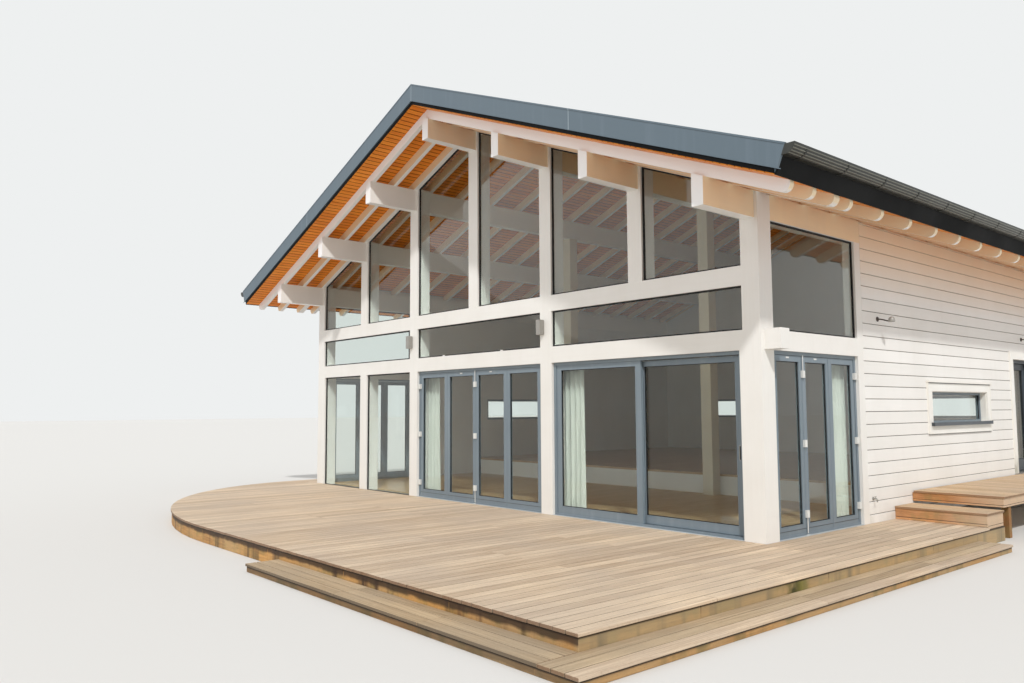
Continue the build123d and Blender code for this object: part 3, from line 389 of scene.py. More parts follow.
@dataclass(frozen=True)
class PaintedBoards(PaintedTimber):
    """Painted boards, each with its own shade, damp near the deck, and with painted warm bounce light under
    the eaves.
    """

    damp: str = "9c9a84"
    damp_low: float = 0.24
    damp_high: float = 0.5
    dampness: float = 0.35
    shading: float = 0.18
    # Painted warm bounce light under the eaves: its tone, strength and the heights it rises over
    bounce_light_tone: str = "f0cf9f"
    bounce_light_strength: float = 0.0
    bounce_light_rise: Span = (3.35, 4.2)

    def dress(self, graph: Surface) -> None:
        """The painted timber, each board's tone, a damp band below and painted warm bounce light at the top.

        Args:
            graph: the material's nodes.
        """
        super().dress(graph)
        graph.tint(graph.times(graph.tone(), self.shading), self.shade)
        height = graph.axes(graph.place)["Z"]
        low = graph.spread(height, self.damp_low, self.damp_high, self.dampness, 0.0)
        cloud = graph.spread(graph.noise(graph.place, 3.5, 5.0), 0.35, 0.7)
        graph.tint(graph.times(low, cloud), self.damp)
        # Painted warm bounce light, stronger towards the top of the wall
        graph.tint(graph.spread(height, *self.bounce_light_rise, 0.0, self.bounce_light_strength), self.bounce_light_tone)


@dataclass(frozen=True)
class BareBoards(Finish):
    """Unpainted boards: grain between two tones, a shade for each board, weather patches, and sides and ends
    darkened by dirt and painted shade.
    """

    slot: str = "deck_boards"
    dark: str = "6f5d4c"
    patch: str = "9a938a"
    along: tuple[float, float, float] = (26.0, 0.9, 26.0)
    graining: float = 0.62
    patching: float = 0.5
    speckling: float = 0.25
    relief: float = 0.0012
    coat: float = 0.0
    specular: float = 0.5
    # Darker sides and ends stand for dirt and for painted shade in the gaps and joints
    edge_shade_and_dirt: float = 0.0
    edge_shade_and_dirt_tone: str = "3a2c1f"
    side_axis: str = "X"
    end_shade_and_dirt: float = 0.0
    end_shade_and_dirt_tone: str = "6a4526"
    spread: Span = (-0.08, 0.26)

    def dress(self, graph: Surface) -> None:
        """Grain mixes two tones, each board has its own shade, and its sides and ends may be darker, from
        dirt and painted shade in the gaps.

        Args:
            graph: the material's nodes.
        """
        tone = graph.tone()
        grain = Effect.GRAIN.on(graph, Vector=graph.scaled(graph.place, self.along), Fibre=1.0,
                                Shift=graph.times(tone, 37.0))
        weather = Effect.WEATHER.on(graph, Vector=graph.place, Patch=0.9, Speck=55.0)
        shade = graph.spread(tone, 0.0, 1.0, *self.spread)
        depth = graph.plus(graph.times(grain["Grain"], self.graining), shade)
        graph.tint(graph.math("MAXIMUM", depth, 0.0), self.dark)
        graph.tint(graph.times(weather["Patches"], self.patching), self.patch)
        graph.tint(graph.times(weather["Specks"], self.speckling), self.dark)
        # Darker sides and ends: dirt, and painted shade in the gaps and joints
        normal = graph.normal()
        end_axis = "Y" if self.side_axis == "X" else "X"
        for axis, strength, code in ((self.side_axis, self.edge_shade_and_dirt, self.edge_shade_and_dirt_tone),
                                     (end_axis, self.end_shade_and_dirt, self.end_shade_and_dirt_tone)):
            facing = graph.math("ABSOLUTE", normal[axis])
            graph.tint(graph.spread(facing, 0.6, 0.85, 0.0, strength), code)
        gloss = (self.roughness - 0.08, self.roughness + 0.1)
        graph.put("Roughness", graph.spread(grain["Pores"], 0.0, 1.0, *gloss))
        graph.put("Coat Weight", self.coat)
        graph.put("Specular IOR Level", self.specular)
        graph.bump(graph.plus(graph.times(grain["Pores"], -0.4), grain["Grain"]), self.relief)


@dataclass(frozen=True)
class SawnSkirt(BareBoards):
    """Sawn skirt boards, dark under the nosing from stain and painted shade, and pale and green near the
    ground, the paleness partly painted light.
    """

    slot: str = "deck_skirt"
    stain_and_shade_tone: str = "4a3320"
    moss: str = "7c7746"
    front_shade_tone: str = "2f1c0e"
    top: float = 0.19
    fall: float = 0.07
    streak: float = 0.0
    line: float = 0.0
    shadow_line_tone: str = "2b1d10"
    bleach_and_light: tuple[float, float, float] = (0.0, 1.0, 0.0)
    front_shade: float = 0.0
    spot: tuple[float, float, float] | None = None
    spot_moss: str = "6c6a1e"
    spot_dirt: str = "2d2a14"

    def dress(self, graph: Surface) -> None:
        """The bare boards, then stain and painted shade by height, moss, runs, paling that is partly painted
        light, a painted shaded band on front faces and a painted shadow line under the nosing.

        Args:
            graph: the material's nodes.
        """
        super().dress(graph)
        axes = graph.axes(graph.place)
        cloud = graph.noise(graph.place, 5.0, 5.0)
        edge = graph.plus(axes["Z"], graph.times(cloud, 0.06))
        # Darker towards the top: stain, and painted shade under the nosing
        graph.tint(graph.spread(edge, self.top - self.fall + 0.03, self.top + 0.03, 0.0, 0.65), self.stain_and_shade_tone)
        graph.tint(graph.times(graph.spread(cloud, 0.5, 0.64), 0.4), self.moss)
        runs = Effect.RUNS.on(graph, Vector=graph.place, Width=5.0)["Runs"]
        graph.tint(graph.times(runs, self.streak), self.stain_and_shade_tone)
        # Paler towards +x: bleaching, and painted light on the right-hand side
        pale = graph.times(graph.spread(axes["X"], *self.bleach_and_light[:2]), self.bleach_and_light[2])
        graph.tint(pale, self.patch)
        # Painted shade under the nosing on faces that look to the front
        facing = graph.spread(graph.normal()["Y"], -0.95, -0.6, self.front_shade, 0.0)
        band = graph.times(graph.spread(edge, self.top - 0.045, self.top - 0.02), facing)
        graph.tint(band, self.front_shade_tone)
        if self.spot:
            away = graph.add("VectorMath", {0: graph.place, 1: self.spot}, operation="DISTANCE")
            for near, far, strength, cloud_top, code in ((0.06, 0.42, 1.0, 0.55, self.spot_moss),
                                                         (0.02, 0.16, 0.85, 0.5, self.spot_dirt)):
                ring = graph.spread(away.outputs["Value"], near, far, strength, 0.0)
                graph.tint(graph.times(ring, graph.spread(cloud, 0.3, cloud_top)), code)
        # Painted shadow line just under the nosing
        line = graph.spread(axes["Z"], self.top - 0.02, self.top - 0.008, 0.0, self.line)
        graph.tint(line, self.shadow_line_tone)


@dataclass(frozen=True)
class CoatedMetal(Finish):
    """Coated sheet or profile: an even skin with faint patches, dust and water runs."""

    dust: str = "8d9296"
    dusting: float = 0.25
    metallic: float = 0.0
    specular: float = 0.5

    def dress(self, graph: Surface) -> None:
        """Dust in patches and runs, with an uneven gloss and a fine skin.

        Args:
            graph: the material's nodes.
        """
        weather = Effect.WEATHER.on(graph, Vector=graph.place, Patch=1.1, Speck=90.0)
        runs = Effect.RUNS.on(graph, Vector=graph.place, Width=10.0)["Runs"]
        film = graph.plus(graph.times(weather["Patches"], 0.6), runs)
        graph.tint(graph.times(film, self.dusting), self.dust)
        gloss = (self.roughness, self.roughness + 0.14)
        graph.put("Roughness", graph.spread(weather["Patches"], 0.0, 1.0, *gloss))
        graph.put("Metallic", self.metallic)
        graph.put("Specular IOR Level", self.specular)
        graph.bump(weather["Specks"], 0.0002)


@dataclass(frozen=True)
class ClearGlass(Finish):
    """Clear float glass that lets light through to the room."""

    def dress(self, graph: Surface) -> None:
        """Plain transmission, faint waviness, and open shadows.

        Args:
            graph: the material's nodes.
        """
        graph.put("Transmission Weight", 1.0)
        graph.put("IOR", 1.38)
        graph.bump(graph.noise(graph.place, 0.7, 1.0), 0.002)
        clear = graph.add("BsdfTransparent", {"Color": (0.78, 0.82, 0.8, 1.0)})
        shadow = graph.add("LightPath").outputs["Is Shadow Ray"]
        pick = graph.add("MixShader", {0: shadow, 1: graph.shader.outputs[0], 2: clear.outputs[0]})
        graph.feed(graph.tree.nodes["Material Output"].inputs["Surface"], pick.outputs[0])


@dataclass(frozen=True)
class Skin(Finish):
    """An even skin, such as concrete, a membrane, a lens or the dark fill of dirt and painted shade in the
    deck's gaps, clouded by a second tone.
    """

    slot: str = "deck_skirt"
    shade: str = "55544d"
    clouding: float = 0.6
    relief: float = 0.0003
    patch_scale: float = 3.0
    speck_scale: float = 80.0

    def dress(self, graph: Surface) -> None:
        """Soft patches of the second tone and a fine relief.

        Args:
            graph: the material's nodes.
        """
        weather = Effect.WEATHER.on(graph, Vector=graph.place, Patch=self.patch_scale,
                                    Speck=self.speck_scale)
        graph.tint(graph.times(weather["Patches"], self.clouding), self.shade)
        graph.bump(weather["Specks"], self.relief)


@dataclass(frozen=True)
class FoldedSheet(CoatedMetal):
    """Coated sheet of the verge: painted highlights on the joints at the ridge and part way down, and a
    painted shade line at the fold at the top.
    """

    joint: float = 3.63
    fold: float = 0.476
    joint_highlight: str = "a9b3b8"
    fold_shade: str = "2c353c"

    def dress(self, graph: Surface) -> None:
        """The coated metal, painted highlight lines where x is a joint's, and a painted shade line at the
        fold's height.

        Args:
            graph: the material's nodes.
        """
        super().dress(graph)
        axes = graph.axes(graph.place)
        across = graph.math("ABSOLUTE", axes["X"])
        off = graph.math("ABSOLUTE", graph.math("SUBTRACT", across, self.joint))
        # Painted highlight lines on the joints
        graph.tint(graph.spread(graph.math("MINIMUM", off, across), 0.0035, 0.006, 0.75, 0.0), self.joint_highlight)
        # Painted shade line in the fold's crease
        height = graph.plus(axes["Z"], graph.times(across, SLOPE))
        away = graph.math("ABSOLUTE", graph.math("SUBTRACT", height, RAFTER_SEAT + self.fold))
        graph.tint(graph.spread(away, 0.002, 0.004, 0.55, 0.0), self.fold_shade)


@dataclass(frozen=True)
class CurtainCloth(Finish):
    """Woven curtain cloth: crossed threads and a soft sheen."""

    shade: str = "b7bcb0"

    def dress(self, graph: Surface) -> None:
        """Threads as relief, and a soft change of tone.

        Args:
            graph: the material's nodes.
        """
        threads = Effect.WEAVE.on(graph, Vector=graph.add("UVMap").outputs[0])["Threads"]
        graph.tint(graph.spread(graph.noise(graph.place, 4.0, 3.0), 0.3, 0.7, 0.0, 0.3), self.shade)
        graph.put("Sheen Weight", 0.25)
        graph.bump(threads, 0.0004)


WHITE_PAINT = PaintedTimber("white_paint_upright", "ebe9e4", 0.42)
WHITE_PAINT_ACROSS = PaintedTimber("white_paint_across", "ebe9e4", 0.42, along=(1.0, 24.0, 24.0))
# White paint under the roof with painted warm bounce light in its cream tint
BOUNCE_LIT_PAINT_ALONG = EavesTimber("bounce_lit_paint_along", "f6dfba", 0.42, along=(24.0, 1.0, 24.0), left_painted_light=0.85)
BOUNCE_LIT_PAINT_ACROSS = EavesTimber("bounce_lit_paint_across", "f6ddb6", 0.42, along=(1.0, 24.0, 24.0))
CREAM_PAINT = PaintedTimber("cream_paint", "e6dcc6", 0.5)
# The side cladding carries painted warm bounce light under the eaves
CLADDING_PAINT = PaintedBoards("cladding_paint", "f1efeb", 0.48, "white_cladding", shade="cbc8bf",
                               along=(26.0, 1.0, 26.0), relief=0.0008, bounce_light_strength=0.6)
REAR_CLADDING_PAINT = PaintedBoards("rear_cladding_paint", "eceae5", 0.48, "white_cladding", shade="c4c1b8",
                                    along=(1.0, 26.0, 26.0), relief=0.0008)
TRIM_PAINT = PaintedBoards("trim_paint", "f0eee8", 0.42, shade="cdc8ba", damp="6e7358")
ENTRANCE_TRIM_PAINT = PaintedBoards("entrance_trim_paint", "efede7", 0.42, shade="cdc8ba", damp="5b6245",
                                    damp_low=0.6, damp_high=0.95, dampness=0.75)
# Dark membrane, mat and backing: real layers, darkened as painted shade in the gaps
DARK_BACKING_AND_SHADE = Skin("dark_backing_and_shade", "2c2b27", 0.8, shade="44423b")
# Dark fill in the deck's gaps: painted shade, and dirt
GAP_SHADE_AND_DIRT = Skin("gap_shade_and_dirt", "3b3128", 0.9, shade="54473a", relief=0.002)
# The soffit boards' darker sides are painted shade in the joints between them
PINE = BareBoards("varnished_pine_boards", "f89f3a", 0.38, "varnished_pine", dark="cb651b", patch="ec8c32",
                  patching=0.3, along=(22.0, 0.7, 22.0), relief=0.0004, specular=0.15, edge_shade_and_dirt=0.85,
                  edge_shade_and_dirt_tone="5a3210")
ROOF_SHEET = CoatedMetal("roof_sheet", "56646f", 0.46, "roof_metal", dust="747f87", dusting=0.35,
                         metallic=0.15)
FASCIA_SHEET = FoldedSheet("fascia_sheet", "596872", 0.38, "roof_metal", dust="6d7b86", dusting=0.3,
                           metallic=0.1)
GUTTER_SHEET = CoatedMetal("gutter_sheet", "272825", 0.34, "dark_metal", dust="4b4c42", dusting=0.35,
                           metallic=0.2)
# Lighter than the gutter sheet: painted highlights along the ribs
GUTTER_RIB = CoatedMetal("gutter_rib", "6a6b62", 0.3, "dark_metal", dust="8a887a", dusting=0.45, metallic=0.3)
# Near black: the sheet's own dark coat, darkened further as painted shade under the eaves
EAVES_SHEET = CoatedMetal("eaves_sheet", "090a0b", 0.6, "dark_metal", dust="131413", dusting=0.3,
                          specular=0.15)
SEAL = CoatedMetal("glazing_seal", "17181a", 0.6, "glazing_bead", dust="34332f", dusting=0.25)
GREY_PROFILE = CoatedMetal("grey_profile", "74818a", 0.36, "grey_aluminium", dust="98a3a9", dusting=0.25,
                           metallic=0.05)
DARK_PROFILE = CoatedMetal("dark_profile", "3e454c", 0.34, "entrance_paint", dust="5b6166", dusting=0.25)
HINGE_COAT = CoatedMetal("hinge_coat", "dcdcd8", 0.35, "hinge_paint", dust="a7a59d", dusting=0.25)
BRIGHT_METAL = CoatedMetal("bright_metal", "b4b3ae", 0.3, "lamp_metal", dust="86837b", dusting=0.3,
                           metallic=0.9)
SILL_COAT = CoatedMetal("sill_coat", "b9bec0", 0.4, "grey_aluminium", dust="97958c", dusting=0.4)
LAMP_COAT = CoatedMetal("lamp_coat", "9a9791", 0.4, "lamp_metal", dust="a5a29c", dusting=0.3, metallic=0.3)
DARK_ARM = CoatedMetal("dark_arm", "4a423c", 0.4, "lamp_metal", dust="6d645b", dusting=0.3, metallic=0.4)
LENS = Skin("lamp_lens", "e9e6da", 0.25, "lamp_metal", shade="d2cdb9", clouding=0.4, relief=0.0001)
GLASS = ClearGlass("clear_pane", "f0f5f2", 0.0)
CONCRETE = Skin("slab_concrete", "94918a", 0.85, shade="6d6a64", clouding=0.5, relief=0.002, patch_scale=2.0,
                speck_scale=70.0)
# Darker sides and ends of deck, nosing and step boards: dirt, and painted shade in the gaps
DECKING = BareBoards("deck_boards_weathered", "ecd6b9", 0.72, dark="92775c", patch="b8a897", patching=0.5,
                     along=(58.0, 1.3, 58.0), relief=0.0016, edge_shade_and_dirt=0.7, end_shade_and_dirt=0.75, spread=(-0.1, 0.29))
DECK_NOSING = replace(DECKING, label="deck_nosing_weathered", edge_shade_and_dirt=0.0)
CROSS_DECKING = replace(DECKING, label="cross_boards_weathered", color="e0c49f", dark="977854",
                        along=(1.3, 58.0, 58.0), side_axis="Y")
CROSS_NOSING = replace(CROSS_DECKING, label="cross_nosing_weathered", edge_shade_and_dirt=0.6, edge_shade_and_dirt_tone="7a4824")
# Step boards darker than the deck: weathering, and painted shade
SIDE_STEP_BOARDS = replace(DECKING, label="side_step_boards_shaded_and_weathered", color="d6bf9d", dark="826a4e",
                           patch="a5957f", patching=0.6)
STEP_BOARDS = replace(DECKING, label="step_boards_shaded_and_weathered", color="d2b995", dark="826a4e", patch="a5957f",
                      patching=0.6, along=(1.3, 58.0, 58.0), side_axis="Y", edge_shade_and_dirt=0.7)
# Skirts and risers: dark top bands, front bands and lines under the nosing are painted shade, partly stain;
# paleness towards +x is partly painted light
SKIRT = SawnSkirt("skirt_boards", "cf9c58", 0.75, dark="86582b", patch="ab9b79", patching=0.4,
                  along=(3.0, 3.0, 46.0), streak=1.5, line=0.9, bleach_and_light=(6.68, 6.74, 0.55), front_shade=0.85,
                  spot=(6.74, -1.5, 0.13))
SKIRT_LOW = SawnSkirt("low_riser_boards", "bd9058", 0.75, dark="7c5a33", patch="9f9274", patching=0.5,
                      along=(3.0, 3.0, 46.0), top=0.06, fall=0.025, streak=0.4, line=0.9, front_shade=0.5)
STEP_RISER = SawnSkirt("step_riser_boards", "dba06a", 0.7, dark="a06a3d", patch="c9b49a", patching=0.3,
                       along=(1.5, 1.5, 40.0), top=3.0, streak=0.2, bleach_and_light=(6.0, 6.72, 0.7))
UNDER_DECK = SawnSkirt("under_deck_posts", "9c6c3e", 0.75, dark="6d4522", patch="7d6444", patching=0.3,
                       along=(24.0, 24.0, 1.0), top=3.0)
FLOOR_PLANKS = BareBoards("floor_planks", "c9ab84", 0.4, "floor_boards", dark="a3835c", patch="bfa27c",
                          patching=0.25, relief=0.0003, coat=0.2)
CURTAIN = CurtainCloth("curtain_cloth", "cdcec6", 0.8)

# Corners of the unit cube, x first, then y, then z, and its six sides
UNIT = np.array([[x, y, z] for z in (0, 1) for y in (0, 1) for x in (0, 1)], float)
SIDES = np.array([[0, 2, 3, 1], [4, 5, 7, 6], [0, 1, 5, 4], [2, 6, 7, 3], [0, 4, 6, 2], [1, 3, 7, 5]])


def boxes(low: Any, high: Any) -> Array:
    """Corners of boxes: the lowest one plus each corner of the unit cube times the box's size.

    Args:
        low: the lowest x, y and z of each box.
        high: the highest x, y and z of each box.

    Returns:
        Eight corners for each box.
    """
    low = np.atleast_2d(np.asarray(low, float))
    high = np.atleast_2d(np.asarray(high, float))
    return low[:, None, :] + UNIT * (high - low)[:, None, :]


def grown(span: Span, reach: float) -> Span:
    """A span that starts earlier and ends later by the same reach."""
    return span[0] - reach, span[1] + reach


def columns(*values: Any) -> Array:
    """Rows made of columns that are arrays or single numbers."""
    return np.stack(np.broadcast_arrays(*(np.asarray(v, float) for v in values)), -1)


def mirrored(corners: Array) -> Array:
    """Blocks, and after them their mirror images on the other side of the ridge."""
    return np.concatenate([corners, corners * np.array([-1, 1, 1])])


def laid(lines: Array, gap: float, cuts: Array, ends: Span, height: Span) -> Array:
    """Boards side by side along Y, each in several lengths.

    Args:
        lines: x of the lines between the boards.
        gap: how far each board keeps off its lines.
        cuts: y of the joints between the lengths, a row for each board.
        ends: y of the boards' front and rear ends.
        height: their underside and top.

    Returns:
        Eight corners for each length.
    """
    stops = np.pad(cuts, ((0, 0), (1, 1)))
    stops[:, 0], stops[:, -1] = ends
    x0, x1 = (np.repeat(side, stops.shape[1] - 1) for side in (lines[:-1] + gap, lines[1:] - gap))
    y0, y1 = stops[:, :-1].reshape(-1) + HAIR, stops[:, 1:].reshape(-1) - HAIR
    return boxes(columns(x0, y0, height[0]), columns(x1, y1, height[1]))


def shades(count: int, seed: int) -> Array:
    """A fixed random shade from 0 to 1 for each of count boards."""
    return np.random.default_rng(seed).random(count)


class Pile:
    """Gathers the points and faces of one piece, with a shade for each loose part."""

    def __init__(self) -> None:
        """Starts empty."""
        self.points: list[Array] = []
        self.faces: list[list[int]] = []
        self.tones: list[Array] = []
        self.count = 0

    def add(self, points: Array, faces: list[Array], tones: Any = 0.5) -> "Pile":
        """Adds loose points and faces.

        Args:
            points: rows of x, y, z.
            faces: arrays of faces, each with its own number of corners.
            tones: one shade, or one for each point.

        Returns:
            This pile.
        """
        for block in faces:
            self.faces.extend((np.asarray(block, int) + self.count).tolist())
        self.points.append(points)
        self.tones.append(np.broadcast_to(np.asarray(tones, float), len(points)).copy())
        self.count += len(points)
        return self

    def blocks(self, corners: Array, tones: Any = 0.5) -> "Pile":
        """Adds six-sided blocks, turning those whose corners run the other way round.

        Args:
            corners: eight corners for each block, x first, then y, then z.
            tones: one shade, or one for each block.

        Returns:
            This pile.
        """
        number = len(corners)
        edges = corners[:, [1, 2, 4]] - corners[:, :1]
        faces = SIDES[None] + 8 * np.arange(number)[:, None, None]
        inside_out = np.linalg.det(edges) < 0
        faces[inside_out] = faces[inside_out][:, :, ::-1]
        tones = np.repeat(np.broadcast_to(np.asarray(tones, float), number), 8)
        return self.add(corners.reshape(-1, 3), [faces.reshape(-1, 4)], tones)

    def shell(self, points: Array, faces: list[Array], tones: Any = 0.5) -> "Pile":
        """Adds a closed shell and turns its faces outwards, by the sign of its volume.

        Args:
            points: rows of x, y, z.
            faces: arrays of faces.
            tones: one shade.

        Returns:
            This pile.
        """
        centred = points - points.mean(0)
        volume = 0.0
        for block in faces:
            loop = centred[np.asarray(block, int)]
            first = np.repeat(loop[:, :1], loop.shape[1] - 2, 1)
            volume += np.einsum("ijk,ijk->", first, np.cross(loop[:, 1:-1], loop[:, 2:]))
        if volume < 0:
            faces = [np.asarray(block)[:, ::-1] for block in faces]
        return self.add(points, faces, tones)

    def piece(self, name: str, finish: Finish, body: str = HOUSE, bevel: float = 0.0, smooth: bool = False,
              slot: str = "", replaces: Sequence[str] = ()) -> bpy.types.Object:
        """Makes the piece and hangs it on its body.

        Args:
            name: the piece's name.
            finish: what it is finished with.
            body: the body it moves with.
            bevel: width of its chamfered edges in metres, or 0.
            smooth: whether gentle edges are shaded smooth.
            slot: the record's material slot, where it isn't the finish's own; not used.
            replaces: nodes that it stands for.

        Returns:
            The new object.
        """
        mesh = bpy.data.meshes.new(name)
        mesh.from_pydata(np.concatenate(self.points).tolist(), [], self.faces)
        mesh.attributes.new("tone", "FLOAT", "POINT").data.foreach_set("value", np.concatenate(self.tones))
        mesh.materials.append(finish.material())
        mesh.validate()
        if smooth:
            mesh.shade_smooth()
            mesh.set_sharp_from_angle(angle=SMOOTH_UP_TO)
        made = bpy.data.objects.new(name, mesh)
        bpy.context.scene.collection.objects.link(made)
        if bevel:
            edge = made.modifiers.new("chamfer", "BEVEL")
            edge.width = bevel
            edge.segments = 1
            edge.limit_method = "ANGLE"
            edge.angle_limit = CHAMFER_FROM
        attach(made, body)
        if replaces:
            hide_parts(*replaces)
        LOG.info("%s: %d points, %d faces", name, self.count, len(self.faces))
        return made


def loft(rings: int, sides: int) -> list[Array]:
    """Faces of a closed shell whose points are rings that follow each other.

    Args:
        rings: how many rings there are.
        sides: how many points each ring has.

    Returns:
        The quads between the rings, and a flat face at each end.
    """
    ring = np.arange(sides)
    base = np.arange(rings - 1)[:, None] * sides
    lower, after = (base + ring).reshape(-1), (base + np.roll(ring, -1)).reshape(-1)
    quads = np.stack([lower, after, after + sides, lower + sides], 1)
    return [quads, ring[None, ::-1], (rings - 1) * sides + ring[None]]


def prism(start: Array, end: Array) -> Shell:
    """A closed outline carried from its place at the start to its place at the end."""
    return np.concatenate([start, end]), loft(2, len(start))


def turned(profile: Array, centre: Sequence[float], axis: str, sides: int) -> Shell:
    """A turned shape, closed at both ends.

    Each point of the profile, a radius and a height, goes round the axis: radius times the cosine and
    sine of the angle, and the height along the axis.

    Args:
        profile: rows of radius and height; the first and last radius are closed by a flat face.
        centre: where height 0 of the axis is.
        axis: X, Y or Z.
        sides: how many steps go round.

    Returns:
        Points and faces.
    """
    angle = np.linspace(0, 2 * np.pi, sides, endpoint=False)
    radius, height = profile[:, :1], np.broadcast_to(profile[:, 1:], (len(profile), sides))
    parts = {"a": radius * np.cos(angle), "b": radius * np.sin(angle), "h": height}
    order = {"X": "hab", "Y": "bha", "Z": "abh"}[axis]
    points = np.stack([parts[key] for key in order], -1).reshape(-1, 3) + np.asarray(centre, float)
    return points, loft(len(profile), sides)


def tube(path: Array, radius: float, across: Sequence[float], sides: int = 16) -> Shell:
    """A round bar along a path that lies in one plane.

    Each ring is the path's point plus the radius times the cosine along the plane's normal and the sine
    along the direction square to both the normal and the path.

    Args:
        path: rows of x, y, z.
        radius: the bar's radius.
        across: the normal of the plane that the path lies in.
        sides: how many steps go round.

    Returns:
        Points and faces.
    """
    along = np.gradient(path, axis=0)
    along /= np.linalg.norm(along, axis=1, keepdims=True)
    normal = np.asarray(across, float)
    side = np.cross(along, normal)
    angle = np.linspace(0, 2 * np.pi, sides, endpoint=False)[None, :, None]
    rings = path[:, None] + radius * (np.cos(angle) * normal + np.sin(angle) * side[:, None])
    return rings.reshape(-1, 3), loft(len(path), sides)


def screws(places: Array, normal: str, radius: float, proud: float) -> Pile:
    """Low turned screw heads.

    Args:
        places: where the heads sit.
        normal: the way they face, such as +Z or -Y.
        radius: a head's radius.
        proud: how far it stands out.

    Returns:
        A pile of all heads.
    """
    profile = np.array([[radius, -0.001], [radius, proud * 0.5], [radius * 0.6, proud]])
    profile[:, 1] *= 1 if normal[0] == "+" else -1
    points, faces = turned(profile, (0, 0, 0), normal[1], 8)
    pile = Pile()
    for place in places:
        pile.shell(points + place, faces)
    return pile


class Face(Enum):
    """Walls, each with its own way of placing a run along it, a depth into it and a height."""

    FRONT = "front"
    RIGHT = "right"
    LEFT = "left"
    REAR = "rear"

    def place(self, run: Any, depth: Any, height: Any) -> Array:
        """Turns runs, depths and heights into points.

        Args:
            run: x on the front and rear, y on the sides.
            depth: how far in from the wall's outer face.
            height: height over the ground.

        Returns:
            Rows of x, y, z.
        """
        run, depth, height = np.broadcast_arrays(*(np.asarray(v, float) for v in (run, depth, height)))
        if self is Face.FRONT:
            return np.stack([run, depth, height], -1)
        if self is Face.REAR:
            return np.stack([run, HOUSE_DEPTH - depth, height], -1)
        side = 1 if self is Face.RIGHT else -1
        return np.stack([side * (HALF_HOUSE - depth), run, height], -1)

    def bend(self, corners: Array) -> Array:
        """Turns corners given as run, depth and height into points."""
        return self.place(corners[..., 0], corners[..., 1], corners[..., 2])

    def boxes(self, low: Any, high: Any) -> Array:
        """Corners of boxes given by their lowest and highest run, depth and height."""
        return self.bend(boxes(low, high))

    def ring(self, run: Span, depth: Span, height: Span, width: float) -> Array:
        """Corners of the four bars that line a rectangle from within.

        Args:
            run: the rectangle's start and end along the wall.
            depth: the bars' outer and inner depth.
            height: the rectangle's foot and head.
            width: the bars' width.

        Returns:
            Eight corners for each of the four bars.
        """
        (a, b), (t0, t1), (z0, z1) = run, depth, height
        low = [[a, t0, z0], [a, t0, z1 - width], [a, t0, z0 + width], [b - width, t0, z0 + width]]
        high = [[b, t1, z0 + width], [b, t1, z1], [a + width, t1, z1 - width], [b, t1, z1 - width]]
        return self.boxes(low, high)


def dress(finish: Finish, *nodes: str) -> None:
    """Gives nodes of the frame a finish in all their material slots.

    Args:
        finish: what the nodes are finished with.
        nodes: their names.
    """
    for node in nodes:
        slots = frame["nodes"][node].data.materials
        if not slots:
            slots.append(finish.material())
        for number in range(len(slots)):
            slots[number] = finish.material()
        LOG.info("%s: %s", node, finish.label)


@dataclass
class TimberFrame:
    """White posts and transoms, purlins and rafters in a warmer tone that is painted bounce light, cream
    posts inside, and the slab.
    """

    def build(self) -> None:
        """Dresses the frame with paint whose grain follows each timber."""
        dress(WHITE_PAINT, "main_posts", "gable_studs")
        dress(CREAM_PAINT, "interior_posts")
        dress(WHITE_PAINT_ACROSS, "transoms")
        # Rafters and purlins carry painted warm bounce light and painted light
        dress(BOUNCE_LIT_PAINT_ACROSS, "rafters")
        dress(BOUNCE_LIT_PAINT_ALONG, "purlins")
        dress(CONCRETE, "foundation")


